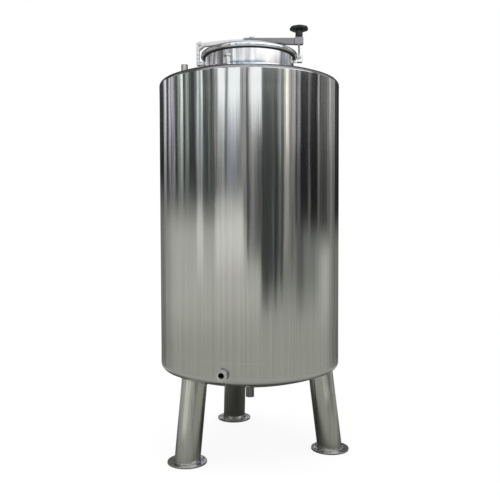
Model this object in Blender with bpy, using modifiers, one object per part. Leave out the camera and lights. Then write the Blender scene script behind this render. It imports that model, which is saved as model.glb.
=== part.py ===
"""A vertical stainless storage tank on three splayed pipe legs, with a clamped round manhole lid.

Metres, +Z up, floor at z = 0. The hinge of the lid is at -X and its clamp at +X.
Every place below is measured from the vessel's own axis, which an empty marks.
"""

from math import asin, atan2, cos, pi, radians, sin, sqrt

import bmesh
import bpy
from mathutils import Matrix, Vector

GAP = 0.0003  # between pieces that touch
SEAT_GAP = 0.0006  # between a flat bracket and the round neck that it is welded to
CUT_PAST = 0.02  # how far a cutter runs past what it cuts
TURN_STEP = radians(7.5)  # one facet of a large turned piece

# The vessel's axis, measured from the middle of the footprint, which is the origin
AXIS_X = -0.0177
AXIS_Y = -0.0138

# Vessel
VESSEL_R = 0.400
WALL = 0.003
SHELL_LOW = 0.381
SHELL_HIGH = 1.600
SHELL_PANELS = 8
HEAD_SECTORS = 6
HEAD_SECTOR_START = radians(30)
TOP_CROWN_R = 1.140
TOP_KNUCKLE_R = 0.018
BOTTOM_CROWN_R = 1.050
BOTTOM_KNUCKLE_R = 0.030
HOLE_MARGIN = 0.01  # a head's outline has no point nearer to its hole than this
HEAD_SKIRT = 0.05  # how far the space of a head is drawn on past its rim
ROOT_REACH = 0.05  # how deep a stub is drawn into a head before it is cut to the head

# Manhole neck and lid
NECK_R = 0.199
NECK_LOW = 1.655
NECK_HIGH = 1.7315
LID_R = 0.2160
LID_SHEET = 0.0025
LID_KNUCKLE_R = 0.0105
LID_CURL_R = 0.0059  # the rim's lower edge is rolled in about the gasket
LID_RIM_Z = 1.7414
LID_TOP = 1.7790
GASKET_IN = 0.190
GASKET_HIGH = 1.7475

# Lever, its fork and the stud that carries the lid
LEVER_TOP = 1.8268
LEVER_LOW = 1.8037
LEVER_DEPTH = 0.0177  # of its left arm
LEVER_STEP = LEVER_LOW + LEVER_DEPTH
LEVER_HALF_WIDTH = 0.010
LEVER_END = 0.2034
LEVER_BENDS = ((-0.204, 1.8062), (-0.149, 1.8132), (-0.090, 1.8188), (-0.0275, LEVER_STEP))
LEVER_DROP_START = 0.146
LEVER_DROP_END = 0.158
FORK_IN = 0.2037
FORK_OUT = 0.2431
FORK_LOW = 1.7985
FORK_HALF_WIDTH = 0.013
FORK_SLOT = 0.013
FORK_CROWN_GAP = 0.001
STUD_X = 0.012
STUD_TOP = 1.8335
STUD_R = 0.008
STUD_COLLAR_R = 0.016
STUD_NUT_R = 0.0115

# Hinge at the left of the lid
HINGE_X = -0.2205
HINGE_Z = 1.7940
HINGE_PIN_R = 0.005
HINGE_PIN_HEAD_R = 0.008
HINGE_PIN_HEAD = 0.003
HINGE_EYE_R = 0.0135
HINGE_HEAD_R = 0.0160
HINGE_PLATE = 0.005
HINGE_PLATE_Y = 0.0112
HINGE_STEM_OUT = -0.2355
HINGE_STEM_IN = -0.2220
HINGE_STEM_HIGH = 1.7715
HINGE_FOOT_LOW = 1.7055
HINGE_FOOT_HIGH = 1.7210
HINGE_WEB = 0.0045
WEB_LAP = 0.002  # how far a web reaches into the cheeks that it joins

# Swing bolt, its lug on the neck and the hand knob
BOLT_X = 0.2240
BOLT_PIN_Z = 1.7370
BOLT_R = 0.005
BOLT_TOP = 1.8700
BOLT_EYE_R = 0.008
BOLT_EYE_HALF = 0.007
CROSS_PIN_R = 0.004
CROSS_PIN_GRIP = 0.0143  # half the length between its heads
CROSS_PIN_HEAD_R = 0.006
CROSS_PIN_HEAD = 0.003
LUG_LOW = 1.7190
LUG_HIGH = 1.7520
LUG_OUT = 0.2400
LUG_STEP = 0.2185
LUG_FOOT_HIGH = 1.7245
LUG_NOTCH_OUT = 0.2320
LUG_NOTCH_LOW = 1.7315
LUG_PLATE = 0.0045
LUG_PLATE_Y = 0.0088
LUG_WEB = 0.004
KNOB_LOBES = 7
KNOB_LOBE_SHARE = 0.13  # the depth of its finger hollows as a share of its radius
KNOB_LOBE_CORNERS = 8
KNOB_MIDDLE = 1.8690
KNOB_SWELL = ((0.0420, 0.0022), (0.0395, 0.0048), (0.0310, 0.0078), (0.0200, 0.0105))
HUB_R = 0.0165
HUB_LOW = 1.8315
HUB_ROOT = 0.004  # how far the hub runs up into the knob

# Legs and feet
LEG_R = 0.054
LEG_WALL = 0.003
LEG_LEAN = 0.124  # how far a leg's axis comes in for each metre that it rises
LEG_DRAWN_LOW = -0.05  # the straight pipe before it is cut at the floor and at the head
LEG_DRAWN_HIGH = 0.40
LEG_AZIMUTHS = {"right": radians(-15.8), "rear": radians(102.8), "left": radians(224.2)}
FOOT_RADIUS_OUT = 0.3668
FOOT_R = 0.0825
FOOT_THICK = 0.008

# Nozzles
OUTLET_AZIMUTH = radians(254.3)
OUTLET_Z = 0.3971
OUTLET_REACH = 0.0215
OUTLET_R = 0.0127
OUTLET_BORE = 0.0108
OUTLET_FLANGE_R = 0.0252
OUTLET_FLANGE = 0.0028
OUTLET_TAPER = 0.0036
OUTLET_GROOVE_R = 0.0218
OUTLET_GROOVE = 0.0010  # its depth, and half its width
DRAIN_R = 0.0190
DRAIN_WALL = 0.0020
DRAIN_LOW = 0.2075
DRAIN_DRAWN_HIGH = 0.31
VENT_OUT = 0.2900
VENT_AZIMUTH = radians(180)
VENT_R = 0.0150
VENT_WALL = 0.0020
VENT_TOP = 1.7100
FERRULE_OUT = 0.2647
FERRULE_AZIMUTH = radians(250.8)
FERRULE_R = 0.0110
FERRULE_BORE = 0.0085
FERRULE_FLANGE_R = 0.0180
FERRULE_FLANGE = 0.0060
FERRULE_TAPER = 0.0030
FERRULE_TOP = 1.6880


def clear_scene():
    for obj in list(bpy.data.objects):
        bpy.data.objects.remove(obj)


def new_collection(name):
    made = bpy.data.collections.new(name)
    bpy.context.scene.collection.children.link(made)
    return made


def new_material(name, colour, metallic, roughness):
    made = bpy.data.materials.new(name)
    made.use_nodes = True
    shader = made.node_tree.nodes["Principled BSDF"]
    shader.inputs["Base Color"].default_value = (*colour, 1)
    shader.inputs["Metallic"].default_value = metallic
    shader.inputs["Roughness"].default_value = roughness
    return made


def polished(name):
    return new_material(name, (0.62, 0.62, 0.60), 1.0, 0.12)


def satin(name):
    return new_material(name, (0.50, 0.50, 0.47), 1.0, 0.35)


def black_rubber(name):
    return new_material(name, (0.02, 0.02, 0.022), 0.0, 0.6)


def black_plastic(name):
    return new_material(name, (0.015, 0.016, 0.018), 0.0, 0.3)


def add_object(name, mesh, material=None, place=None):
    """An object on the vessel's axis, or at a place given relative to it."""
    obj = bpy.data.objects.new(name, mesh)
    tank.objects.link(obj)
    obj.parent = vessel_axis
    if place is not None:
        obj.matrix_local = place
    if material:
        mesh.materials.append(material(name + "_finish"))
    return obj


def object_from(name, bm, material=None, place=None):
    """One object from a closed bmesh, smooth but for its sharp edges."""
    bmesh.ops.recalc_face_normals(bm, faces=bm.faces)
    mesh = bpy.data.meshes.new(name)
    bm.to_mesh(mesh)
    bm.free()
    mesh.shade_smooth()
    mesh.set_sharp_from_angle(angle=radians(35))
    return add_object(name, mesh, material, place)


def as_cutter(obj):
    tank.objects.unlink(obj)
    cutters.objects.link(obj)
    obj.hide_render = True
    obj.display_type = "WIRE"
    return obj


def combine(obj, other, operation):
    """A Boolean with another object, which becomes a helper."""
    if other.name not in cutters.objects:
        as_cutter(other)
    modifier = obj.modifiers.new(operation.lower(), "BOOLEAN")
    modifier.operation = operation
    modifier.solver = "EXACT"
    modifier.object = other


def cut(obj, *others):
    for other in others:
        combine(obj, other, "DIFFERENCE")


def join(obj, *others):
    for other in others:
        combine(obj, other, "UNION")


def arc_points(centre, radius, start, end, steps):
    """Points (r, z) on an arc, both ends included."""
    angles = [start + (end - start) * i / steps for i in range(steps + 1)]
    return [(centre[0] + radius * cos(a), centre[1] + radius * sin(a)) for a in angles]


def panel(name, section, start, turn, material):
    """A closed section (r, z) spun about Z through part of a turn, with both its ends closed."""
    bm = bmesh.new()
    corners = [bm.verts.new((r * cos(start), r * sin(start), z)) for r, z in section]
    face = bm.faces.new(corners)
    bmesh.ops.spin(
        bm,
        geom=[face, *face.edges, *face.verts],
        cent=(0, 0, 0),
        axis=(0, 0, 1),
        angle=turn,
        steps=round(turn / TURN_STEP),
    )
    return object_from(name, bm, material)


def turned(name, profile, steps=48, material=None, place=None):
    """A profile (r, z) that runs down its outer side, turned about Z with a Screw modifier."""
    bm = bmesh.new()
    corners = [bm.verts.new((r, 0, z)) for r, z in profile]
    for one, two in zip(corners, corners[1:]):
        bm.edges.new((one, two))
    if profile[0][0] > 0:
        bm.edges.new((corners[-1], corners[0]))
    mesh = bpy.data.meshes.new(name)
    bm.to_mesh(mesh)
    bm.free()
    obj = add_object(name, mesh, material, place)
    screw = obj.modifiers.new("turn", "SCREW")
    screw.steps = steps
    screw.render_steps = steps
    screw.use_merge_vertices = True
    screw.merge_threshold = 0.00005
    screw.use_smooth_shade = True
    return obj


def ring(name, out, inside, low, high, steps=48, material=None, place=None):
    """A plain tube, standing on Z."""
    profile = [(inside, high), (out, high), (out, low), (inside, low)]
    return turned(name, profile, steps, material, place)


def rod(name, radius, start, end, sides=24, material=None):
    """A round bar between two points."""
    start, end = Vector(start), Vector(end)
    along = end - start
    bm = bmesh.new()
    bmesh.ops.create_cone(
        bm,
        cap_ends=True,
        segments=sides,
        radius1=radius,
        radius2=radius,
        depth=along.length,
    )
    facing = along.to_track_quat("Z", "Y").to_matrix().to_4x4()
    place = Matrix.Translation((start + end) / 2) @ facing
    return object_from(name, bm, material, place)


def cross_rod(name, radius, x, z, half_length, material=None):
    """A round bar along Y, middled on the X-Z plane."""
    return rod(name, radius, (x, -half_length, z), (x, half_length, z), material=material)


def headed_pin(name, radius, x, z, grip, head_r, head):
    """A pin along Y with a head at each end. The grip is half the length between its heads."""
    pin = cross_rod(name, radius, x, z, grip + head / 2, satin)
    for side in (-1, 1):
        start = (x, side * grip, z)
        end = (x, side * (grip + head), z)
        join(pin, rod(f"{name}_head", head_r, start, end))


def block(name, low, high):
    """A box from its lowest and highest corners."""
    low, high = Vector(low), Vector(high)
    bm = bmesh.new()
    bmesh.ops.create_cube(bm, size=1.0)
    bmesh.ops.scale(bm, vec=high - low, verts=bm.verts)
    return object_from(name, bm, place=Matrix.Translation((low + high) / 2))


def plate(name, outline, half_width, middle_y=0.0, material=None):
    """A flat outline of (x, z) points, thickened along Y."""
    bm = bmesh.new()
    corners = [bm.verts.new((x, -half_width, z)) for x, z in outline]
    face = bm.faces.new(corners)
    sides = bmesh.ops.extrude_face_region(bm, geom=[face])
    moved = [v for v in sides["geom"] if isinstance(v, bmesh.types.BMVert)]
    bmesh.ops.translate(bm, verts=moved, vec=(0, 2 * half_width, 0))
    return object_from(name, bm, material, Matrix.Translation((0, middle_y, 0)))


def cheek_pair(name, outline, inner_y, thickness, web_low, web_high):
    """Two like plates either side of the X-Z plane, joined by a web between two (x, z) corners."""
    half = thickness / 2
    cheek = plate(name, outline, half, inner_y + half, satin)
    other = plate(f"{name}_second_cheek", outline, half, -inner_y - half)
    lap = inner_y + WEB_LAP
    web = block(f"{name}_web", (web_low[0], -lap, web_low[1]), (web_high[0], lap, web_high[1]))
    join(cheek, web, other)
    return cheek


def crown_radius(radius, knuckle, depth):
    """The crown of a dished end that has this knuckle and this depth over its rim."""
    flat = radius - knuckle
    return (depth ** 2 - knuckle ** 2 + flat ** 2) / (2 * (depth - knuckle))


def head_curve(radius, crown, knuckle, steps):
    """A dished end's outline from the axis to its rim, as (r, height above the rim)."""
    reach = sqrt((crown - knuckle) ** 2 - (radius - knuckle) ** 2)
    depth = crown - reach
    meet = asin((radius - knuckle) / (crown - knuckle))
    dish = arc_points((0, depth - crown), crown, pi / 2, pi / 2 - meet, steps)
    bend = arc_points((radius - knuckle, 0), knuckle, pi / 2 - meet, 0, 4)
    return [(0, depth)] + dish[1:-1] + bend


def head_section(crown, knuckle, hole_r, steps=8):
    """The sheet of a head from its centre hole to its rim, as a closed section of (r, height)."""
    sides = []
    for inward in (0, WALL):
        curve = head_curve(VESSEL_R - inward, crown - inward, knuckle - inward, steps)
        middle = curve[0][1] - (crown - inward)
        edge = (hole_r, middle + sqrt((crown - inward) ** 2 - hole_r ** 2))
        sides.append([edge] + [p for p in curve if p[0] > hole_r + HOLE_MARGIN])
    return sides[0] + sides[1][::-1]


def head_space(name, crown, knuckle, rim_z, up):
    """The space that a head takes up, a gap larger all round. It points up for 1 and down for -1."""
    curve = head_curve(VESSEL_R + GAP, crown + GAP, knuckle + GAP, 12)
    profile = [(r, rim_z + up * h) for r, h in curve]
    skirt_z = rim_z - up * HEAD_SKIRT
    profile += [(VESSEL_R + GAP, skirt_z), (0, skirt_z)]
    return as_cutter(turned(name, profile[::up]))


def on_vessel(out, azimuth, z):
    return (out * cos(azimuth), out * sin(azimuth), z)


def make_shell():
    """The rolled sheet, in equal panels whose edges meet."""
    turn = 2 * pi / SHELL_PANELS
    inset = GAP / 2 / VESSEL_R
    low, high = SHELL_LOW + GAP / 2, SHELL_HIGH - GAP / 2
    inside = VESSEL_R - WALL
    section = [(VESSEL_R, low), (VESSEL_R, high), (inside, high), (inside, low)]
    hole_in = on_vessel(VESSEL_R - CUT_PAST, OUTLET_AZIMUTH, OUTLET_Z)
    hole_out = on_vessel(VESSEL_R + CUT_PAST, OUTLET_AZIMUTH, OUTLET_Z)
    hole = rod("outlet_hole", OUTLET_BORE, hole_in, hole_out)
    for i in range(SHELL_PANELS):
        start = i * turn
        sheet = panel(f"shell_panel_{i + 1}", section, start + inset, turn - 2 * inset, polished)
        if start < OUTLET_AZIMUTH < start + turn:
            cut(sheet, hole)


def upright_hole(name, radius, out, azimuth):
    """A cutter for a stub's bore through the top head."""
    low = on_vessel(out, azimuth, SHELL_HIGH)
    high = on_vessel(out, azimuth, SHELL_HIGH + 2 * ROOT_REACH)
    return rod(name, radius, low, high)


def make_head(name, section, holes):
    """One head in equal sectors. Each hole is (azimuth, cutter) and is made where it falls."""
    turn = 2 * pi / HEAD_SECTORS
    inset = GAP / 2 / VESSEL_R
    for i in range(HEAD_SECTORS):
        start = HEAD_SECTOR_START + i * turn
        label = f"{name}_sector_{i + 1}"
        sector = panel(label, section, start + inset, turn - 2 * inset, polished)
        for azimuth, cutter in holes:
            if start < azimuth < start + turn:
                cut(sector, cutter)


def make_heads():
    top = head_section(TOP_CROWN_R, TOP_KNUCKLE_R, NECK_R + GAP)
    top = [(r, TOP_RIM_Z + h) for r, h in top]
    vent = upright_hole("vent_hole", VENT_R - VENT_WALL, VENT_OUT, VENT_AZIMUTH)
    ferrule = upright_hole("ferrule_hole", FERRULE_BORE, FERRULE_OUT, FERRULE_AZIMUTH)
    make_head("top_head", top, [(VENT_AZIMUTH, vent), (FERRULE_AZIMUTH, ferrule)])
    bottom = head_section(BOTTOM_CROWN_R, BOTTOM_KNUCKLE_R, DRAIN_R - DRAIN_WALL)
    bottom = [(r, BOTTOM_RIM_Z - h) for r, h in bottom]
    make_head("bottom_head", bottom, [])


def make_manhole():
    """The neck, the rubber ring on its rim and the dished lid, whose rolled rim holds the ring."""
    ring("manhole_neck", NECK_R, NECK_R - WALL, NECK_LOW, NECK_HIGH, material=polished)
    gasket_out = LID_R - LID_CURL_R - GAP
    ring("lid_gasket", gasket_out, GASKET_IN, NECK_HIGH + GAP, GASKET_HIGH, material=black_rubber)
    crown = crown_radius(LID_R, LID_KNUCKLE_R, LID_TOP - LID_RIM_Z)
    sides = []
    for inward in (0, LID_SHEET):
        curve = head_curve(LID_R - inward, crown - inward, LID_KNUCKLE_R - inward, 6)
        curl = arc_points((LID_R - LID_CURL_R, 0), LID_CURL_R - inward, 0, -pi / 2, 4)
        sides.append([(r, LID_RIM_Z + h) for r, h in curve + curl[1:]])
    turned("lid_cover", sides[0] + sides[1][::-1], material=polished)


def make_lever():
    """The arm from the hinge over the lid: it rises to a step, and is deeper at its far end."""
    eye = arc_points((HINGE_X, HINGE_Z), HINGE_EYE_R, radians(110), radians(270), 8)
    under_bends = [(x, z - LEVER_DEPTH) for x, z in LEVER_BENDS]
    far_end = [
        (LEVER_DROP_START, LEVER_LOW),
        (LEVER_DROP_END, FORK_LOW),
        (LEVER_END, FORK_LOW),
        (LEVER_END, LEVER_TOP),
        (LEVER_BENDS[-1][0], LEVER_TOP),
    ]
    outline = eye + under_bends + far_end + list(LEVER_BENDS[::-1])
    lever = plate("clamp_lever", outline, LEVER_HALF_WIDTH, material=satin)
    across = LEVER_HALF_WIDTH + CUT_PAST
    pin_hole = cross_rod("lever_pin_hole", HINGE_PIN_R + GAP, HINGE_X, HINGE_Z, across)
    stud_hole = rod("lever_stud_hole", STUD_R + GAP, (STUD_X, 0, LEVER_LOW - CUT_PAST),
                    (STUD_X, 0, LEVER_TOP + CUT_PAST))
    cut(lever, pin_hole, stud_hole)


def make_lever_fork():
    """The block on the lever's end, open outwards, its top crowned about the swing bolt's pin."""
    crown = HUB_LOW - FORK_CROWN_GAP - BOLT_PIN_Z
    left, right = FORK_IN - BOLT_X, FORK_OUT - BOLT_X
    top = arc_points((BOLT_X, BOLT_PIN_Z), crown, atan2(crown, right), atan2(crown, left), 8)
    outline = [(FORK_IN, FORK_LOW), (FORK_OUT, FORK_LOW)] + top
    fork = plate("lever_fork", outline, FORK_HALF_WIDTH, material=satin)
    half = FORK_SLOT / 2
    slot = block("fork_slot", (BOLT_X - half, -half, FORK_LOW - CUT_PAST),
                 (FORK_OUT + CUT_PAST, half, LEVER_TOP + CUT_PAST))
    cut(fork, slot)


def make_lid_stud():
    """The stud that the lid hangs on: a collar under the lever, a neck through it, a nut on top."""
    foot = LID_TOP + GAP
    profile = [
        (0, STUD_TOP),
        (STUD_NUT_R, STUD_TOP),
        (STUD_NUT_R, LEVER_TOP + GAP),
        (STUD_R, LEVER_TOP + GAP),
        (STUD_R, LEVER_LOW - GAP),
        (STUD_COLLAR_R, LEVER_LOW - GAP),
        (STUD_COLLAR_R, foot),
        (0, foot),
    ]
    turned("lid_stud", profile, 24, satin, Matrix.Translation((STUD_X, 0, 0)))


def make_hinge():
    """Two tall cheeks off the neck's left side, and the pin that the lever turns on."""
    seat = -NECK_R - SEAT_GAP
    head = arc_points((HINGE_X, HINGE_Z), HINGE_HEAD_R, radians(-80), radians(180), 12)
    outline = [
        (HINGE_STEM_OUT, HINGE_FOOT_LOW),
        (seat, HINGE_FOOT_LOW),
        (seat, HINGE_FOOT_HIGH),
        (HINGE_STEM_IN, HINGE_FOOT_HIGH),
        (HINGE_STEM_IN, HINGE_STEM_HIGH),
    ] + head
    bracket = cheek_pair("hinge_bracket", outline, HINGE_PLATE_Y, HINGE_PLATE,
                         (seat - HINGE_WEB, HINGE_FOOT_LOW), (seat, HINGE_FOOT_HIGH))
    outer_face = HINGE_PLATE_Y + HINGE_PLATE
    hole_r = HINGE_PIN_R + GAP
    cut(bracket, cross_rod("hinge_hole", hole_r, HINGE_X, HINGE_Z, outer_face + CUT_PAST))
    headed_pin("hinge_pin", HINGE_PIN_R, HINGE_X, HINGE_Z, outer_face + GAP,
               HINGE_PIN_HEAD_R, HINGE_PIN_HEAD)


def make_latch_lug():
    """Two cheeks on the neck, notched open to the top, between which the swing bolt's eye sits."""
    seat = NECK_R + SEAT_GAP
    outline = [
        (seat, LUG_LOW),
        (LUG_OUT, LUG_LOW),
        (LUG_OUT, LUG_HIGH),
        (LUG_NOTCH_OUT, LUG_HIGH),
        (LUG_NOTCH_OUT, LUG_NOTCH_LOW),
        (LUG_STEP, LUG_NOTCH_LOW),
        (LUG_STEP, LUG_FOOT_HIGH),
        (seat, LUG_FOOT_HIGH),
    ]
    cheek_pair("latch_lug", outline, LUG_PLATE_Y, LUG_PLATE,
               (seat, LUG_LOW), (seat + LUG_WEB, LUG_FOOT_HIGH))


def make_swing_bolt():
    """A round bolt with an eye at its foot, and the headed pin through the eye."""
    bolt = rod("swing_bolt", BOLT_R, (BOLT_X, 0, BOLT_PIN_Z), (BOLT_X, 0, BOLT_TOP),
               material=satin)
    eye = cross_rod("bolt_eye", BOLT_EYE_R, BOLT_X, BOLT_PIN_Z, BOLT_EYE_HALF)
    across = BOLT_EYE_HALF + CUT_PAST
    hole = cross_rod("bolt_eye_hole", CROSS_PIN_R + GAP, BOLT_X, BOLT_PIN_Z, across)
    join(bolt, eye)
    cut(bolt, hole)
    headed_pin("bolt_cross_pin", CROSS_PIN_R, BOLT_X, BOLT_PIN_Z, CROSS_PIN_GRIP,
               CROSS_PIN_HEAD_R, CROSS_PIN_HEAD)


def lobed_ring(bm, radius, z, corners):
    """Corners of the knob's outline at one height: a circle with shallow finger hollows."""
    made = []
    for i in range(corners):
        angle = 2 * pi * i / corners
        reach = radius * (1 - KNOB_LOBE_SHARE * (1 - cos(KNOB_LOBES * angle)) / 2)
        made.append(bm.verts.new((reach * cos(angle), reach * sin(angle), z)))
    return made


def make_hand_knob():
    """A flat lobed black knob on a short hub, screwed onto the swing bolt."""
    bm = bmesh.new()
    corners = KNOB_LOBES * KNOB_LOBE_CORNERS
    levels = [(r, KNOB_MIDDLE - h) for r, h in KNOB_SWELL[::-1]]
    levels += [(r, KNOB_MIDDLE + h) for r, h in KNOB_SWELL]
    rings = [lobed_ring(bm, radius, z, corners) for radius, z in levels]
    for low, high in zip(rings, rings[1:]):
        for i in range(corners):
            bm.faces.new((low[i - 1], low[i], high[i], high[i - 1]))
    bm.faces.new(rings[0][::-1])
    bm.faces.new(rings[-1])
    knob = object_from("hand_knob", bm, black_plastic, Matrix.Translation((BOLT_X, 0, 0)))
    hub_high = levels[0][1] + HUB_ROOT
    hub = rod("knob_hub", HUB_R, (BOLT_X, 0, HUB_LOW), (BOLT_X, 0, hub_high), 32)
    bore = rod("knob_bore", BOLT_R + GAP, (BOLT_X, 0, HUB_LOW - CUT_PAST),
               (BOLT_X, 0, BOLT_TOP + GAP))
    join(knob, hub)
    cut(knob, bore)


def leg_point(out, z):
    """A point on a leg's axis, which leans in as it rises."""
    return out * (FOOT_RADIUS_OUT - LEG_LEAN * z) + Vector((0, 0, z))


def make_legs():
    """Three splayed pipes, cut level at the foot plates and to the bottom head's shape at the top."""
    floor = block("floor_space", (-1, -1, 2 * LEG_DRAWN_LOW), (1, 1, FOOT_THICK + GAP))
    for side, azimuth in LEG_AZIMUTHS.items():
        out = Vector(on_vessel(1, azimuth, 0))
        low, high = leg_point(out, LEG_DRAWN_LOW), leg_point(out, LEG_DRAWN_HIGH)
        along = high - low
        lean = Matrix.Translation(low) @ along.to_track_quat("Z", "Y").to_matrix().to_4x4()
        leg = ring(f"leg_{side}", LEG_R, LEG_R - LEG_WALL, 0, along.length, 32, satin, lean)
        cut(leg, floor, bottom_space)
        foot = out * FOOT_RADIUS_OUT
        top = foot + Vector((0, 0, FOOT_THICK))
        rod(f"foot_plate_{side}", FOOT_R, foot, top, 40, polished)


def make_outlet():
    """A short radial tube low on the shell. Its wide thin flange has a grooved face, for a clamp."""
    out = OUTLET_REACH
    profile = [
        (OUTLET_BORE, out),
        (OUTLET_GROOVE_R - OUTLET_GROOVE, out),
        (OUTLET_GROOVE_R, out - OUTLET_GROOVE),
        (OUTLET_GROOVE_R + OUTLET_GROOVE, out),
        (OUTLET_FLANGE_R, out),
        (OUTLET_FLANGE_R, out - OUTLET_FLANGE),
        (OUTLET_R, out - OUTLET_FLANGE - OUTLET_TAPER),
        (OUTLET_R, -CUT_PAST),
        (OUTLET_BORE, -CUT_PAST),
    ]
    turn_out = Matrix.Rotation(OUTLET_AZIMUTH, 4, "Z") @ Matrix.Rotation(pi / 2, 4, "Y")
    place = Matrix.Translation(on_vessel(VESSEL_R, OUTLET_AZIMUTH, OUTLET_Z)) @ turn_out
    outlet = turned("side_outlet", profile, 32, polished, place)
    reach = VESSEL_R + GAP
    low, high = OUTLET_Z - 2 * CUT_PAST, OUTLET_Z + 2 * CUT_PAST
    space = turned("shell_space", [(0, high), (reach, high), (reach, low), (0, low)], 96)
    cut(outlet, space)


def make_top_nozzles():
    """A plain vent stub at the left of the top head, and a flanged ferrule before the neck."""
    root = SHELL_HIGH + GAP
    place = Matrix.Translation(on_vessel(VENT_OUT, VENT_AZIMUTH, 0))
    vent = ring("vent_stub", VENT_R, VENT_R - VENT_WALL, root, VENT_TOP, 24, polished, place)
    cut(vent, top_space)
    flange_low = FERRULE_TOP - FERRULE_FLANGE
    profile = [
        (FERRULE_BORE, FERRULE_TOP),
        (FERRULE_FLANGE_R, FERRULE_TOP),
        (FERRULE_FLANGE_R, flange_low),
        (FERRULE_R, flange_low - FERRULE_TAPER),
        (FERRULE_R, root),
        (FERRULE_BORE, root),
    ]
    place = Matrix.Translation(on_vessel(FERRULE_OUT, FERRULE_AZIMUTH, 0))
    ferrule = turned("top_ferrule", profile, 24, polished, place)
    cut(ferrule, top_space)


def make_drain():
    bore = DRAIN_R - DRAIN_WALL
    drain = ring("drain_stub", DRAIN_R, bore, DRAIN_LOW, DRAIN_DRAWN_HIGH, 32, polished)
    cut(drain, bottom_space)


def hang_on(name, place, carrier, carrier_place, pieces):
    """An empty on a joint's axis, below the axis that carries it, with the pieces that turn on it."""
    axis = bpy.data.objects.new(name, None)
    tank.objects.link(axis)
    axis.parent = carrier
    axis.location = Vector(place) - Vector(carrier_place)
    for piece in pieces:
        obj = tank.objects[piece]
        obj.parent = axis
        obj.matrix_parent_inverse = Matrix.Translation(-Vector(place))
    return axis


def hang_moving_pieces():
    """The lid turns on its hinge, the swing bolt on its cross pin, and the knob on the bolt."""
    hinge, pivot = (HINGE_X, 0, HINGE_Z), (BOLT_X, 0, BOLT_PIN_Z)
    lid_pieces = ["lid_cover", "lid_gasket", "clamp_lever", "lever_fork", "lid_stud"]
    lid_axis = hang_on("lid_hinge_axis", hinge, vessel_axis, (0, 0, 0), lid_pieces)
    bolt_pieces = ["swing_bolt", "bolt_cross_pin"]
    bolt_axis = hang_on("bolt_swing_axis", pivot, lid_axis, hinge, bolt_pieces)
    knob_middle = (BOLT_X, 0, KNOB_MIDDLE)
    hang_on("knob_turn_axis", knob_middle, bolt_axis, pivot, ["hand_knob"])


clear_scene()
tank = new_collection("storage_tank")
cutters = new_collection("cutters")
vessel_axis = bpy.data.objects.new("vessel_axis", None)
vessel_axis.location = (AXIS_X, AXIS_Y, 0)
tank.objects.link(vessel_axis)

TOP_RIM_Z = SHELL_HIGH + GAP / 2
BOTTOM_RIM_Z = SHELL_LOW - GAP / 2
top_space = head_space("top_head_space", TOP_CROWN_R, TOP_KNUCKLE_R, TOP_RIM_Z, 1)
bottom_space = head_space("bottom_head_space", BOTTOM_CROWN_R, BOTTOM_KNUCKLE_R, BOTTOM_RIM_Z, -1)
make_shell()
make_heads()
make_manhole()
make_lever()
make_lever_fork()
make_lid_stud()
make_hinge()
make_latch_lug()
make_swing_bolt()
make_hand_knob()
make_legs()
make_outlet()
make_top_nozzles()
make_drain()
hang_moving_pieces()
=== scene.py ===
# %% [markdown]
# # Dressing a polished storage tank
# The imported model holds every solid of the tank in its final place. This lesson gives each of them
# the form and the finish of the real thing: mirror polished sheet, ground pipe legs, a cast clamp,
# black rubber and moulded plastic. Everything is in metres, and +Z is up.

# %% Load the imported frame
from math import asin, atan2, cos, degrees, exp, hypot, pi, radians, sin, sqrt

import bmesh
import bpy
from mathutils import Matrix, Vector, noise


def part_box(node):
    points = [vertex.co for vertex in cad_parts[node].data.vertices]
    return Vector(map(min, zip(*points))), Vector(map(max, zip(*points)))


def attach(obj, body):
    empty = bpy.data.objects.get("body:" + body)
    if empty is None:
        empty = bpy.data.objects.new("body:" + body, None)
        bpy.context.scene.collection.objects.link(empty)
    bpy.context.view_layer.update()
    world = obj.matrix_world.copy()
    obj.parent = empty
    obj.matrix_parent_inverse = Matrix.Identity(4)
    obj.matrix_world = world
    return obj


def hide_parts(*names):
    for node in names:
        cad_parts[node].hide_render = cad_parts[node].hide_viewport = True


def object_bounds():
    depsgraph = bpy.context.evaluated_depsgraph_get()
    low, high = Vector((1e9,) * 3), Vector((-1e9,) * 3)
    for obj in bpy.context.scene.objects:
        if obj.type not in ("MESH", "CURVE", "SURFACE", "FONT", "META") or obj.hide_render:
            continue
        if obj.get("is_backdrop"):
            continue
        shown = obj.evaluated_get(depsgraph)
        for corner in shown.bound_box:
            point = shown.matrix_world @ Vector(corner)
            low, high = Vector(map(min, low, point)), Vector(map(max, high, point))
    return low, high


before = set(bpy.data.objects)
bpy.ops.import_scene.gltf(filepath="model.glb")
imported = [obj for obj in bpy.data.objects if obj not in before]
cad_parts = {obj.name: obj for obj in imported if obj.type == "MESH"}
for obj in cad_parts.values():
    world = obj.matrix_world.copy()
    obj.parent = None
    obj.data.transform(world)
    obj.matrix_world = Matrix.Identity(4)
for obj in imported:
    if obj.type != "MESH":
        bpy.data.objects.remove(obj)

cad_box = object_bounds()
print("solids reach from", [round(v, 4) for v in cad_box[0]], "to", [round(v, 4) for v in cad_box[1]])

# %% [markdown]
# ## The vessel's axis
# Almost every piece of a tank is round about one upright line. The drain sits in the middle of the
# bottom head, so the middle of its box gives that line. Each piece below is drawn about it and then
# moved there, which also gives its textures a sensible middle.

# %% Find the vessel's axis
drain_low, drain_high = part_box("drain_stub")
AXIS = (drain_low + drain_high) / 2
AXIS.z = 0
UP = Vector((0, 0, 1))
print("the vessel's axis stands at", round(AXIS.x, 4), round(AXIS.y, 4))

# %% [markdown]
# ## The camera
# A picture with little perspective comes from a long lens and some distance. This camera stands
# 2.9 m from the vessel's axis at the height of the shell's middle and looks down by about two degrees,
# so the rim of the top head is seen from below and the foot plates from above.

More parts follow.
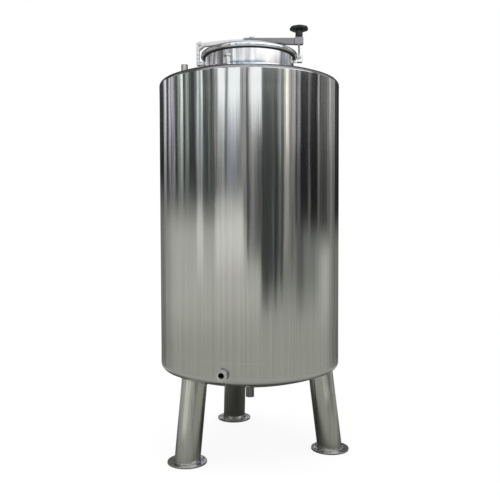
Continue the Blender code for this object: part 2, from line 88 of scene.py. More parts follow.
# %% Set up the camera
CAMERA_DISTANCE = 2.8731
CAMERA_HEIGHT = 0.9833
LENS = 45.618
YAW = radians(0.0362)
PITCH = radians(2.1080)
ROLL = radians(-0.1466)

camera_data = bpy.data.cameras.new("camera")
camera_data.sensor_width = 36
camera_data.lens = LENS
camera = bpy.data.objects.new("camera", camera_data)
camera.location = AXIS + Vector((0, -CAMERA_DISTANCE, CAMERA_HEIGHT))
turn = Matrix.Rotation(-YAW, 3, "Z") @ Matrix.Rotation(pi / 2 - PITCH, 3, "X") @ Matrix.Rotation(ROLL, 3, "Z")
camera.rotation_euler = turn.to_euler()
bpy.context.scene.collection.objects.link(camera)
bpy.context.scene.camera = camera
bpy.context.scene.view_settings.view_transform = "Standard"
print("camera at", [round(v, 3) for v in camera.location])

# %% [markdown]
# ## Writing shader graphs as sums
# A shader graph is easier to read as an expression than as a list of links. A Wire is one output
# socket. Python's operators on it add Math nodes and return a new Wire, also when the number comes
# first, as in 1 - mask. A Board is one node tree, and its node method adds any other node.

# %% Wires
class Wire:
    """One output socket of a shader graph. Its operators work on single values."""

    def __init__(self, board, socket):
        self.board = board
        self.socket = socket

    def __getitem__(self, name):
        return Wire(self.board, self.socket.node.outputs[name])

    def math(self, operation, *values):
        return self.board.node("ShaderNodeMath", {"operation": operation}, values)

    def __add__(self, other):
        return self.math("ADD", self, other)

    def __radd__(self, other):
        return self.math("ADD", other, self)

    def __sub__(self, other):
        return self.math("SUBTRACT", self, other)

    def __rsub__(self, other):
        return self.math("SUBTRACT", other, self)

    def __mul__(self, other):
        return self.math("MULTIPLY", self, other)

    def __rmul__(self, other):
        return self.math("MULTIPLY", other, self)

    def __truediv__(self, other):
        return self.math("DIVIDE", self, other)

    def __rtruediv__(self, other):
        return self.math("DIVIDE", other, self)

    def __neg__(self):
        return self.math("MULTIPLY", self, -1)

    def step(self, low, high):
        """0 under the low value, 1 over the high one, and a smooth rise between them."""
        sockets = {"Value": self, "From Min": low, "From Max": high}
        return self.board.node("ShaderNodeMapRange", {"interpolation_type": "SMOOTHSTEP"}, sockets)

    def band(self, low, full, fade, high):
        """A smooth rise from the first value to the second, and a fall from the third to the last."""
        return self.step(low, full) * (1 - self.step(fade, high))


print("wires are ready")

# %% Boards
class Board:
    """A node tree, and the ways to add nodes to it."""

    def __init__(self, tree):
        self.tree = tree

    def node(self, kind, settings=(), sockets=(), out=0):
        """Add a node: first its settings, then the values or wires of its sockets."""
        made = self.tree.nodes.new(kind)
        made.location.x = 200 * len(self.tree.nodes)
        for name, value in dict(settings).items():
            if name == "stops":
                self.set_stops(made.color_ramp, value)
            else:
                setattr(made, name, value)
        pairs = sockets.items() if isinstance(sockets, dict) else enumerate(sockets)
        for name, value in pairs:
            if isinstance(value, Wire):
                self.tree.links.new(value.socket, made.inputs[name])
            else:
                made.inputs[name].default_value = value
        return Wire(self, made.outputs[out]) if made.outputs else made

    def set_stops(self, ramp, stops):
        while len(ramp.elements) < len(stops):
            ramp.elements.new(1.0)
        for element, (place, colour) in zip(ramp.elements, stops):
            element.position = place
            element.color = colour

    def blend(self, factor, one, other):
        """The first colour where the factor is 0 and the second where it is 1."""
        return self.node("ShaderNodeMix", {"data_type": "RGBA"}, {0: factor, 6: one, 7: other}, out=2)

    def scale(self, colour, factor):
        return self.node("ShaderNodeVectorMath", {"operation": "SCALE"}, {0: colour, 3: factor})

    def reach(self, place, shift=(0, 0, 0), stretch=(1, 1, 1)):
        """How far a place is from the origin, once shifted and stretched."""
        moved = self.node("ShaderNodeVectorMath", {"operation": "MULTIPLY_ADD"}, [place, stretch, shift])
        return self.node("ShaderNodeVectorMath", {"operation": "LENGTH"}, [moved], out="Value")

    def parts(self, place):
        """A vector's X, Y and Z as outputs of one node."""
        return self.node("ShaderNodeSeparateXYZ", sockets=[place])

    def vector(self, x, y, z):
        return self.node("ShaderNodeCombineXYZ", sockets=[x, y, z])

    def noise(self, where, scale, detail=2.0, rough=0.5):
        """Soft random values around 0.5, the same in every render."""
        sockets = {"Vector": where, "Scale": scale, "Detail": detail, "Roughness": rough}
        return self.node("ShaderNodeTexNoise", sockets=sockets)

    def bump(self, height, depth, strength=1.0, over=None):
        """Slopes from a height, its depth in metres, on top of other slopes where they are given."""
        sockets = {"Strength": strength, "Distance": depth, "Height": height}
        if over:
            sockets["Normal"] = over
        return self.node("ShaderNodeBump", sockets=sockets)


def new_board(owner):
    """An empty board for a world or a material."""
    owner.use_nodes = True
    owner.node_tree.nodes.clear()
    return Board(owner.node_tree)


print("boards are ready")

# %% [markdown]
# ## The room that the steel sees
# Polished steel has hardly a colour of its own: what shows in it is the room. A tank in a workshop
# reflects doors, windows and dark machines, and its round wall squeezes them into tall streaks. The
# world below is such a room as a studio would build it: light screens and dark drapes round the
# tank, a white ceiling and a grey-green floor. Only reflections see it. To the camera and to the matt
# surfaces the world is plain soft white.
#
# Each screen is (last azimuth, brightness, tint, lower edge) and begins where the one before it ends.
# Angles are in degrees as seen from the tank. Azimuth 0 looks at the camera and +90 along +X. The
# panels of the ceiling are given in the same way, but for a lower edge.

# %% The screens round the tank
TINTS = {
    "plain": (1.0, 1.0, 1.0),
    "cool": (0.93, 1.0, 1.02),
    "green": (0.90, 1.0, 0.96),
    "blue": (0.92, 0.97, 1.08),
    "violet": (1.0, 0.95, 1.06),
    "warm": (1.03, 1.0, 0.93),
    "sky": (0.80, 0.96, 1.16),
}
SCREENS = [
    (-172, 0.11, "violet", 1.5), (-137, 0.055, "cool", 1.2), (-129, 0.7, "violet", 1.2),
    (-120, 0.12, "cool", 1.2), (-106, 0.48, "violet", 1.2), (-100, 0.09, "cool", 1.2),
    (-90, 0.62, "green", 1.2), (-86, 0.08, "cool", 1.2), (-81, 0.34, "green", 1.2),
    (-76, 0.14, "green", 1.2), (-68, 0.09, "violet", 1.2), (-59, 0.6, "cool", 2.0),
    (-43, 0.18, "green", 1.0), (-36, 0.48, "plain", 2.0), (-29, 0.56, "cool", 2.3),
    (-26.5, 0.36, "cool", 2.3), (-14, 0.52, "blue", 2.3), (-7, 0.38, "plain", 2.5),
    (-3, 0.46, "plain", 0.5), (0, 0.15, "blue", -2.5), (5, 0.5, "plain", -2.5), (9, 0.34, "plain", -2.5),
    (15, 0.22, "plain", -2.5), (18.5, 0.14, "green", -5.9), (23, 0.12, "green", -6.4),
    (27.5, 0.13, "green", -5.6), (30, 0.24, "green", -4.9), (34.5, 0.11, "green", -6.2),
    (38.5, 0.3, "green", -4.4), (42, 0.17, "green", -5.3), (52, 0.66, "warm", -2.5),
    (55.5, 0.34, "warm", -3.5), (58.5, 0.42, "plain", -2.0), (61.5, 0.085, "blue", 0.0),
    (66, 0.23, "violet", 0.0), (78, 0.043, "blue", 0.0), (81, 0.28, "plain", -0.5),
    (94, 0.034, "plain", -0.5), (99, 0.25, "plain", -1.0), (114, 0.14, "plain", -1.0),
    (123, 0.29, "plain", -1.0), (130, 0.48, "plain", -1.0), (138, 0.3, "plain", -0.5),
    (150, 0.055, "plain", 0.0), (180, 0.03, "plain", 0.0),
]
CEILING = [
    (-177, 0.85, "sky"), (-175, 0.55, "blue"), (-156, 0.15, "warm"), (-110, 0.1, "warm"),
    (-103, 0.7, "plain"), (-92, 0.13, "violet"), (-87, 0.45, "violet"), (-68, 0.16, "warm"),
    (-60, 0.3, "warm"), (-50, 0.75, "plain"), (-44, 0.22, "plain"), (-35, 1.35, "cool"),
    (-29, 0.22, "plain"), (-22, 0.8, "plain"), (-16, 0.5, "plain"), (0, 1.0, "plain"), (4, 0.6, "plain"),
    (18, 1.15, "plain"), (44, 1.7, "plain"), (70, 1.7, "plain"), (86, 1.6, "plain"), (104, 0.42, "blue"),
    (112, 0.7, "blue"), (126, 0.5, "plain"), (146, 0.15, "green"), (175, 0.14, "blue"),
    (178.5, 1.3, "plain"), (180, 0.9, "sky"),
]
FIRST_AZIMUTH = -180
EDGE = 0.5  # half the width of the blur between two screens, in degrees
LOWEST_EDGE, HIGHEST_EDGE = -10.0, 5.0  # the lower edges, between which the alpha of a stop counts
BRIGHTEST = 2.0  # ramps hold colours up to 1, so they are stored as a share of this


def screen_stops(first, screens):
    """Stops of a ramp over screens from one azimuth on. Alpha tells how low a screen hangs."""
    stops = []
    start = first
    for end, level, tint, low in screens:
        blur = min(EDGE, (end - start) / 4)
        colour = [level * share / BRIGHTEST for share in TINTS[tint]]
        colour.append((low - LOWEST_EDGE) / (HIGHEST_EDGE - LOWEST_EDGE))
        for place in (start + blur, end - blur):
            stops.append(((place - first) / (screens[-1][0] - first), colour))
        start = end
    return stops


print(len(SCREENS), "screens stand round the tank")

# %% Empty the world and measure directions in it
world = bpy.data.worlds.new("studio_room")
bpy.context.scene.world = world
world.cycles.sampling_method = "NONE"
room = new_board(world)
aim = room.parts(room.node("ShaderNodeTexCoord", out="Generated"))
azimuth = aim.math("ARCTAN2", aim["X"], -aim["Y"]) * degrees(1)
height = aim["Z"].math("ARCSINE", aim["Z"]) * degrees(1)

WANDER = 2.4  # how far apart, in degrees, the noise can move a direction to either side
wander = room.noise(room.vector(azimuth * 0.07, height * 0.16, 0.0), 1.0) - 0.5
azimuth = azimuth + WANDER * wander
streaks = room.noise(room.vector(azimuth * 0.30, height * 0.05, 0.0), 1.0, 4.0, 0.75)
ragged = room.noise(room.vector(azimuth * 0.8, 7.0, 0.0), 1.0, 2.0, 0.6) - 0.5
print("directions wander by up to", WANDER / 2, "degrees")

# %% Hang the screens
RAMP_SCREENS = 13  # a ramp holds 32 stops, and a screen takes two
LOW_LIGHT = 0.52  # how bright the screens are near the floor, against their tops


def painted(screens):
    """The colour and the lower edge of the screen at every azimuth."""
    start = FIRST_AZIMUTH
    colour = None
    for first in range(0, len(screens), RAMP_SCREENS):
        group = screens[first:first + RAMP_SCREENS]
        share = (azimuth - start) / (group[-1][0] - start)
        ramp = room.node("ShaderNodeValToRGB", {"stops": screen_stops(start, group)}, [share])
        if colour is None:
            colour, edge = ramp, ramp["Alpha"]
        else:
            beyond = azimuth.math("GREATER_THAN", azimuth, start)
            colour = room.blend(beyond, colour, ramp)
            edge = edge + beyond * (ramp["Alpha"] - edge)
        start = group[-1][0]
    return colour, edge


walls, hang = painted(SCREENS)
lines = 1.0
for pitch, seed in ((0.75, 3.0), (0.27, 8.0)):
    slats = room.noise(room.vector(azimuth * pitch, height * 0.05, seed), 1.0, 2.0, 0.6)
    bright_slats = (slats + 0.012 * height).step(0.66, 0.74)
    lines = lines * (0.58 + 0.42 * slats.step(0.34, 0.46) + 0.75 * bright_slats)
rising = LOW_LIGHT + (1 - LOW_LIGHT) * (height + 5.0 * ragged).step(3.0, 11.5)
walls = room.scale(walls, BRIGHTEST * lines * (0.30 + 1.40 * streaks) * rising)
low_left = (1 - azimuth.step(-74, -66)) * (1 - height.step(1.0, 5.5))
walls = room.blend(0.7 * low_left, walls, (0.20, 0.205, 0.20, 1.0))
hang = LOWEST_EDGE + (HIGHEST_EDGE - LOWEST_EDGE) * hang + 3.0 * ragged
print("the screens take", len(world.node_tree.nodes), "nodes so far")

# %% Paint the ceiling, the windows in it and the floor
HIGH_WHITES = [(-38, -29), (-26, -11), (2, 15)]  # screens that end in a white window, as azimuths
WHITE_LOW = 10.8
CEILING_LOW = 14.6
SKY_LOW = 38.0  # above this the ceiling is one even light panel
BACK = 165.0  # the ceiling is dim low down, beyond this azimuth on either side

ceiling = room.scale(painted([(*panel, 0.0) for panel in CEILING])[0], BRIGHTEST * (0.60 + 0.8 * streaks))
low_back = (azimuth * azimuth).step(BACK ** 2, (BACK + 3) ** 2) * (1 - height.step(17.3, 17.9))
ceiling = room.blend(low_back, ceiling, (0.20, 0.20, 0.20, 1.0))
front_sky = azimuth.band(-82, -60, 74, 92) * height.step(SKY_LOW - 16, SKY_LOW)
ceiling = room.blend(front_sky, ceiling, (1.15, 1.22, 1.32, 1.0))

whites = 0.0
for start, end in HIGH_WHITES:
    whites = whites + azimuth.band(start - 1, start + 1, end - 1, end + 1)
whites = whites * (height + 9.0 * ragged).step(WHITE_LOW - 3.0, WHITE_LOW + 1.5)
walls = room.blend(whites, walls, (1.42, 1.48, 1.52, 1.0))
walls = room.blend(height.step(CEILING_LOW - 0.5, CEILING_LOW + 0.5), walls, ceiling)

ground = room.blend(height.step(-11, -6), (0.42, 0.425, 0.38, 1.0), (0.56, 0.565, 0.52, 1.0))
shine = azimuth.band(-70, -66, -61, -57) + azimuth.band(-46, -40, -9, -5)
ground = room.blend(shine * height.step(-6, -1), ground, (0.84, 0.84, 0.80, 1.0))
skirting = azimuth.band(12, 16, 85, 110) * height.step(-10.5, -4.0)
ground = room.blend(0.8 * skirting, ground, (0.17, 0.18, 0.17, 1.0))
gap = azimuth.band(58, 63, 68, 74) * height.step(-9.5, -4.0)
ground = room.blend(0.6 * gap, ground, (0.07, 0.07, 0.07, 1.0))
dim_back = 1 - azimuth.band(-152, -102, 108, 142)
ground = room.blend(0.85 * dim_back, ground, (0.13, 0.13, 0.12, 1.0))
fine_streaks = room.noise(room.vector(azimuth * 0.55, height * 0.02, 4.0), 1.0, 3.0, 0.6) - 0.5
front_streaks = 0.9 * fine_streaks * height.step(-22.0, -7.0)
ground = room.scale(ground, 1 + front_streaks + dim_back * (2.4 * streaks - 1.2))
room_colour = room.blend(height.step(hang - 2.2, hang + 1.7), ground, walls)

reflected = room.node("ShaderNodeLightPath", out="Is Glossy Ray")
seen_colour = room.blend(reflected, (1.0, 1.0, 1.0, 1.0), room_colour)
light = room.node("ShaderNodeBackground", sockets=[seen_colour, 1.0])
room.node("ShaderNodeOutputWorld", sockets=[light])
print("the room has", len(world.node_tree.nodes), "nodes")

# %% [markdown]
# ## The floor and a soft lamp
# The floor is plain and pale. In the steel a white floor would wash out the lower half of the shell, so
# reflections see it in the grey-green of a workshop floor, with the real shadow under the tank and a
# painted shadow that deepens it, and further out they look through it at the painted ground of the room.
# One large soft lamp high above the tank gives the real shadow.

# %% Lay the floor
FLOOR_RADIUS = 30.0


def polar(radius, azimuth, z=0.0):
    """A point at one distance and azimuth, in radians, round the upright axis."""
    return Vector((radius * cos(azimuth), radius * sin(azimuth), z))


def turn_angles(count):
    return [2 * pi * i / count for i in range(count)]


def circle(radius, z, sides):
    """Points of a level circle about the axis."""
    return [polar(radius, angle, z) for angle in turn_angles(sides)]


floor_mesh = bpy.data.meshes.new("floor")
floor_mesh.from_pydata(circle(FLOOR_RADIUS, 0.0, 96), [], [range(96)])
floor_object = bpy.data.objects.new("floor", floor_mesh)
bpy.context.scene.collection.objects.link(floor_object)
floor_object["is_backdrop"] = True
print("the floor is", 2 * FLOOR_RADIUS, "m across")

# %% Give the floor one face for the camera and one for the steel
SHADE_SHIFT, SHADE_STRETCH = (0.035, -0.30, 0), (0.7, 1, 1)  # the tank's shade lies a little behind it
floor_finish = bpy.data.materials.new("pale_floor")
floor_mesh.materials.append(floor_finish)
board = new_board(floor_finish)
place = board.node("ShaderNodeTexCoord", out="Object")
speckle = board.noise(place, 3.0)
seen_floor = board.scale(board.vector(0.96, 0.96, 0.96), 0.99 + 0.02 * speckle)
steel_floor = board.scale(board.vector(0.46, 0.47, 0.425), 0.94 + 0.12 * speckle)
# Painted shadow: the floor as the steel sees it is darkened round and a little behind the tank, deepening its
# real shadow.
beyond_painted_shadow = board.reach(place, SHADE_SHIFT, SHADE_STRETCH).step(0.38, 0.80)
steel_floor = board.scale(steel_floor, 0.26 + 0.74 * beyond_painted_shadow)
direct = board.node("ShaderNodeLightPath", out="Is Camera Ray")
matt = board.node("ShaderNodeBsdfDiffuse", sockets={"Color": board.blend(direct, steel_floor, seen_floor)})
glow = board.node("ShaderNodeEmission", sockets={"Color": (1, 1, 1, 1), "Strength": 1.04})
lit = board.node("ShaderNodeMixShader", sockets=[0.84 * direct, matt, glow])
clear = board.node("ShaderNodeBsdfTransparent")
mirrored = board.node("ShaderNodeLightPath", out="Is Glossy Ray")
far = board.reach(place).step(1.2, 2.2)
seen = board.node("ShaderNodeMixShader", sockets=[mirrored * far, lit, clear])
board.node("ShaderNodeOutputMaterial", sockets=[seen])
print("the floor's finish has", len(floor_finish.node_tree.nodes), "nodes")

# %% Hang a soft lamp
LAMP_HEIGHT = 3.4
lamp_data = bpy.data.lights.new("soft_lamp", "AREA")
lamp_data.shape = "DISK"
lamp_data.size = 3.0
lamp_data.energy = 8.0
lamp = bpy.data.objects.new("soft_lamp", lamp_data)
lamp.location = AXIS + Vector((-0.8, -1.0, LAMP_HEIGHT))
lamp.visible_glossy = False
bpy.context.scene.collection.objects.link(lamp)
print("the lamp gives", lamp_data.energy, "W from", LAMP_HEIGHT, "m up")

# %% [markdown]
# ## Finishes in steel
# Sheet steel is polished with a turning belt or mop, so its scratches run round the vessel. They are
# far too fine to draw one by one: they spread a reflection across themselves, which is what the
# anisotropy of the shader does, turned a quarter so that the spread is upright. The scratches and the
# slightly uneven sheet are added as changes of roughness, of colour and of slope.

# %% Open and close a finish
def new_finish(name):
    """An empty material, its board and the place on the surface in metres from the piece's origin."""
    made = bpy.data.materials.new(name)
    board = new_board(made)
    return made, board, board.node("ShaderNodeTexCoord", out="Object")


def close_finish(board, uniform, varied):
    """The closing Principled shader: fixed values on its own sockets, and wires for what varies."""
    shader = board.node("ShaderNodeBsdfPrincipled", sockets={**uniform, **varied})
    board.node("ShaderNodeOutputMaterial", sockets=[shader])


print("a finish can be opened and closed")

# %% A general steel finish
POLISH_LINES = 900.0  # scratches for each metre of height, at their finest


def steel(name, colour, roughness, spread=0.3, lines=0.3, dents=(0.0006, 5.0), marks=0.10,
          flutes=(0.0, 38.0), heat=None, dull=None, painted_highlight=None, worn=None, streak=0.0):
    """Metal with polish scratches that run round the piece's upright axis.

    The sheet's dents are (depth, scale) and its upright flutes (depth, count). A band of heights can be
    tinted by heat, with a painted line of shade across it, or left dull and darkened with painted shade.
    A painted highlight can brighten the side that faces one azimuth, an end can be worn, and the metal
    streaked.
    """
    made, board, where = new_finish(name)
    part = board.parts(where)
    around = part.math("ARCTAN2", part["X"], -part["Y"])
    scratches = board.noise(board.vector(around * 1.5, 0.0, part["Z"] * POLISH_LINES), 1.0, 3.0, 0.7)
    broad = board.noise(board.vector(around * 3.0, 5.0, part["Z"] * 14.0), 1.0, 3.0, 0.6)
    cloud = board.noise(where, 3.0, 3.0, 0.6)
    shade = 1.0 - marks + marks * (cloud + scratches * 0.5 + broad * 0.5)
    base = board.scale(board.vector(*colour), shade)
    rough = roughness * (0.75 + 0.30 * broad + 0.20 * scratches)
    if heat:
        low, high = heat
        blue = part["Z"].band(low - 0.004, low, high, high + 0.002) * around.band(-0.50, -0.36, 0.05, 0.62)
        patchy = board.noise(board.vector(around * 2.2, 2.0, part["Z"] * 30.0), 1.0, 2.0)
        base = board.blend(blue * (0.60 + 0.6 * patchy), base, (0.40, 0.49, 0.60, 1.0))
        # Painted shade: a darker line across the middle of the tinted band, just above the weld at the neck's
        # foot.
        middle = (low + high) / 2
        painted_foot_shade = part["Z"].band(middle - 0.0025, middle - 0.0005, middle + 0.0005, middle + 0.0025)
        base = board.scale(base, 1 - 0.50 * painted_foot_shade * blue)
    # A band left dull: rougher, and darker with painted shade where the steel would show a bright reflection.
    if dull:
        low, high, share = dull
        zone = part["Z"].band(low - 0.001, low + 0.002, high - 0.001, high + 0.001)
        uneven = board.noise(board.vector(around * 14.0, 3.0, 0.0), 1.0, 3.0, 0.7)
        base = board.scale(base, 1 - zone * (share + 0.3 * (uneven - 0.5)))
        rough = rough + 0.05 * zone
    # Painted highlight: a brighter strip on the side that faces one azimuth, from a given height up, standing
    # in for a reflection.
    if painted_highlight:
        middle, half, low, share = painted_highlight
        outward = board.parts(board.node("ShaderNodeNewGeometry", out="Normal"))
        spot = board.parts(board.node("ShaderNodeNewGeometry", out="Position"))
        facing = outward.math("ARCTAN2", outward["X"], -outward["Y"])
        bright = facing.band(middle - half, middle, middle, middle + half)
        base = board.scale(base, 1 + share * bright * spot["Z"].step(low - 0.04, low + 0.04))
    if worn:
        start, end, share = worn
        far = part["X"].step(start, end)
        base = board.scale(base, 1 - share * far)
        rough = rough + 0.12 * far
    if streak:
        drawn = board.noise(board.vector(around * 7.0, 6.0, part["Z"] * 2.5), 1.0, 3.0, 0.7)
        base = board.scale(base, 1 + streak * (drawn - 0.5))
    fluted = board.noise(board.vector(around * flutes[1], 1.0, part["Z"] * 1.1), 1.0, 3.0, 0.6)
    slopes = board.bump(board.noise(where, dents[1], 1.0, 0.4), dents[0])
    slopes = board.bump(fluted, flutes[0], over=slopes)
    slopes = board.bump(scratches, 0.00002, lines, slopes)
    close_finish(
        board,
        {"Metallic": 1.0, "Anisotropic": spread, "Anisotropic Rotation": 0.25},
        {"Base Color": base, "Roughness": rough, "Normal": slopes},
    )
    return made


def polished(name, colour, roughness, spread, flute_depth, **bands):
    """A large polished sheet. Its flutes follow the wall all round."""
    return steel(name, colour, roughness, spread, flutes=(flute_depth, 38.0), **bands)


print("steel can be mixed with", POLISH_LINES, "polish lines to the metre")

# %% Mix the steels
HAND_WORKED = {"lines": 0.5, "dents": (0.0004, 60.0)}
TURNED = {"spread": 0.4, "dents": (0.0002, 40.0)}
GROUND = {"spread": 0.6, "lines": 0.5, "dents": (0.0006, 12.0), "marks": 0.2, "flutes": (0.0002, 7.0)}
# Painted highlights down the legs, standing in for reflections: (facing azimuth in radians, half its width,
# lowest height, share). The rear leg has none.
LEG_PAINTED_HIGHLIGHTS = {"left": (-0.43, 0.32, 0.12, 0.65), "right": (0.20, 0.34, 0.23, 0.85), "rear": None}

shell_finish = polished("mirror_sheet", (0.635, 0.635, 0.62), 0.08, 0.6, 0.00012)
# The knuckle band is darker and rougher: a duller polish, and painted shade over the bright reflection the
# knuckle would show.
knuckle_shade_band = (1.6010, 1.6140, 0.52)
head_finish = polished("mirror_dished_sheet", (0.62, 0.62, 0.605), 0.10, 0.6, 0.00008, dull=knuckle_shade_band)
neck_finish = polished("polished_neck", (0.76, 0.76, 0.77), 0.10, 0.5, 0.0002, heat=(1.6680, 1.6805))
lid_finish = steel("polished_lid", (0.78, 0.78, 0.80), 0.11, spread=0.5, dents=(0.0006, 9.0))
clamp_finish = steel("polished_clamp", (0.80, 0.80, 0.81), 0.14, **HAND_WORKED)
lever_finish = steel("part_worn_lever", (0.80, 0.80, 0.81), 0.14, worn=(-0.035, -0.015, 0.64), **HAND_WORKED)
fork_finish = steel("satin_fork", (0.38, 0.365, 0.395), 0.30, **HAND_WORKED)
leg_finishes = {
    side: steel(f"ground_pipe_{side}", (0.50, 0.50, 0.475), 0.14, painted_highlight=painted_highlight, streak=0.9, **GROUND)
    for side, painted_highlight in LEG_PAINTED_HIGHLIGHTS.items()
}
foot_finish = steel("polished_plate", (0.50, 0.49, 0.475), 0.13, dents=(0.0012, 45.0), streak=0.8)
outlet_finish = steel("satin_flange", (0.66, 0.66, 0.63), 0.36, dents=(0.0002, 40.0))
nozzle_finish = steel("turned_nozzle", (0.60, 0.60, 0.58), 0.22, **TURNED)
drain_finish = steel("dull_drain", (0.22, 0.22, 0.22), 0.24, streak=2.4, **TURNED)
print("fourteen steels are mixed")

# %% [markdown]
# ## Weld beads, rubber and plastic
# A weld on stainless steel is a row of small frozen ripples, duller than the sheet and tinted straw
# and blue by the heat. The gasket is matt black rubber with a fine bloom. The hand knob is moulded
# in glossy black plastic, with the slight unevenness of its mould.

# %% The other finishes
def mottled(name, metal, colours, patches, share, grain, slopes, rough):
    """Two colours in soft patches over a fine grain. Metal's gloss follows its grain."""
    made, board, where = new_finish(name)
    cloud = board.noise(where, *patches)
    fine = board.noise(where, *grain)
    gloss = rough[0] + rough[1] * (fine if metal else cloud)
    varied = {"Base Color": board.blend(cloud.step(*share), *colours), "Roughness": gloss}
    close_finish(board, {"Metallic": metal}, {**varied, "Normal": board.bump(fine, *slopes)})
    return made


weld_finish = mottled(
    "weld_bead", 1.0, [(0.56, 0.52, 0.45, 1.0), (0.36, 0.42, 0.52, 1.0)],
    patches=(55.0, 2.0, 0.6), share=(0.40, 0.66), grain=(900.0, 2.0), slopes=(0.0002, 0.4), rough=(0.28, 0.2),
)
gasket_finish = mottled(
    "black_rubber", 0.0, [(0.012, 0.014, 0.016, 1.0), (0.032, 0.034, 0.036, 1.0)],
    patches=(25.0, 4.0, 0.6), share=(0.35, 0.75), grain=(1200.0, 2.0), slopes=(0.0002, 0.3), rough=(0.5, 0.2),
)
knob_finish = mottled(
    "gloss_black_plastic", 0.0, [(0.010, 0.012, 0.015, 1.0), (0.020, 0.023, 0.027, 1.0)],
    patches=(30.0, 3.0, 0.5), share=(0.3, 0.7), grain=(260.0, 1.0), slopes=(0.0004, 0.25), rough=(0.16, 0.14),
)
print("weld, rubber and plastic are mixed")

# %% [markdown]
# ## Making a mesh from loops of points
# Turned parts, pipes, weld beads and the lobed knob have one thing in common: they are rows of points
# joined to the next row. One helper joins them, whatever the rows are. A row of a single point closes
# an end. A second helper softens the corners of an outline, because no real edge is perfectly
# sharp and a rounded one catches a line of light.

# %% Helpers for loops and outlines
def skin(loops, closed=False):
    """A mesh in which each loop of points is joined to the next one."""
    bm = bmesh.new()
    rows = [[bm.verts.new(point) for point in loop] for loop in loops]
    pairs = list(zip(rows, rows[1:]))
    if closed:
        pairs.append((rows[-1], rows[0]))
    for low, high in pairs:
        for i in range(max(len(low), len(high))):
            places = ((low, i - 1), (low, i), (high, i), (high, i - 1))
            corners = [row[k % len(row)] for row, k in places]
            bm.faces.new(list(dict.fromkeys(corners)))
    return bm


def soften(corners, radius=0.0, steps=4, closed=True):
    """An outline with its corners turned into small curves. A third value is a corner's own radius."""
    points = [Vector(corner[:2]) for corner in corners]
    result = []
    for i, here in enumerate(points):
        if not closed and i in (0, len(points) - 1):
            result.append(here)
            continue
        size = corners[i][2] if len(corners[i]) > 2 else radius
        if not size:
            result.append(here)
            continue
        back = points[i - 1] - here
        ahead = points[(i + 1) % len(points)] - here
        start = here + back.normalized() * min(size, back.length * 0.45)
        end = here + ahead.normalized() * min(size, ahead.length * 0.45)
        for step in range(steps + 1):
            t = step / steps
            result.append(start * (1 - t) ** 2 + here * 2 * t * (1 - t) + end * t ** 2)
    return result


print("loops can be joined and outlines softened")

# %% Turn an outline, and lay it along a direction
def turned(outline, sides, closed=True):
    """An outline of (radius, z) turned about the upright axis."""
    loops = [circle(r, z, sides) if r > 1e-6 else [(0, 0, z)] for r, z in outline]
    return skin(loops, closed)


def spun(corners, sides, steps=4, radius=0.0):
    """An outline that starts and ends on the axis, softened and turned about it."""
    return turned(soften(corners, radius, steps, closed=False), sides, closed=False)


def aimed(bm, start, direction):
    """The same mesh with its own Z axis laid along a direction from a starting point."""
    facing = Vector(direction).to_track_quat("Z", "Y").to_matrix().to_4x4()
    bmesh.ops.transform(bm, matrix=Matrix.Translation(start) @ facing, verts=bm.verts)
    return bm


def arc(centre, radius, start, end, steps):
    """Points on an arc, both ends included."""
    angles = [start + (end - start) * i / steps for i in range(steps + 1)]
    return [(centre[0] + radius * cos(a), centre[1] + radius * sin(a)) for a in angles]


print("outlines can be turned and laid")

# %% Turn a mesh into a piece of the tank
SHARP = radians(38)


def add_piece(name, bm, finish, stands_for=(), body="root", place=(0, 0, 0)):
    """A finished piece, placed from the vessel's axis, that rides on a body and stands for CAD nodes."""
    bmesh.ops.remove_doubles(bm, verts=bm.verts, dist=1e-7)
    bmesh.ops.recalc_face_normals(bm, faces=bm.faces)
    mesh = bpy.data.meshes.new(name)
    bm.to_mesh(mesh)
    bm.free()
    mesh.shade_smooth()
    mesh.set_sharp_from_angle(angle=SHARP)
    mesh.materials.append(finish)
    piece = bpy.data.objects.new(name, mesh)
    piece.location = AXIS + Vector(place)
    bpy.context.scene.collection.objects.link(piece)
    bpy.context.view_layer.update()
    weigh = piece.modifiers.new("weighted_normals", "WEIGHTED_NORMAL")
    weigh.keep_sharp = True
    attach(piece, body)
    if stands_for:
        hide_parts(*stands_for)
    print(f"{name}: {len(mesh.polygons)} faces")


def numbered(name, count):
    return [f"{name}_{i + 1}" for i in range(count)]


print("pieces can be made, with edges over", round(degrees(SHARP)), "degrees kept sharp")

# %% Cut and join meshes, and make bars and slabs
def combine(bm, tool, operation="DIFFERENCE"):
    """One mesh cut by another or joined to it, worked out by a Boolean modifier."""
    made = []
    for label, part in (("worked", bm), ("tool", tool)):
        bmesh.ops.recalc_face_normals(part, faces=part.faces)
        mesh = bpy.data.meshes.new(label)
        part.to_mesh(mesh)
        part.free()
        made.append(bpy.data.objects.new(label, mesh))
        bpy.context.scene.collection.objects.link(made[-1])
    worked, cutter = made
    modifier = worked.modifiers.new("combine", "BOOLEAN")
    modifier.operation = operation
    modifier.solver = "EXACT"
    modifier.object = cutter
    bpy.context.view_layer.update()
    result = bmesh.new()
    result.from_mesh(worked.evaluated_get(bpy.context.evaluated_depsgraph_get()).to_mesh())
    for obj in made:
        bpy.data.objects.remove(obj)
    return result


BROKEN_EDGE = 0.0004


def bar(start, end, radius, sides=32):
    """A round bar between two points, with its end edges broken."""
    start, end = Vector(start), Vector(end)
    length = (end - start).length
    outline = [(0, 0), (radius, 0), (radius, length), (0, length)]
    return aimed(spun(outline, sides, 2, BROKEN_EDGE), start, end - start)


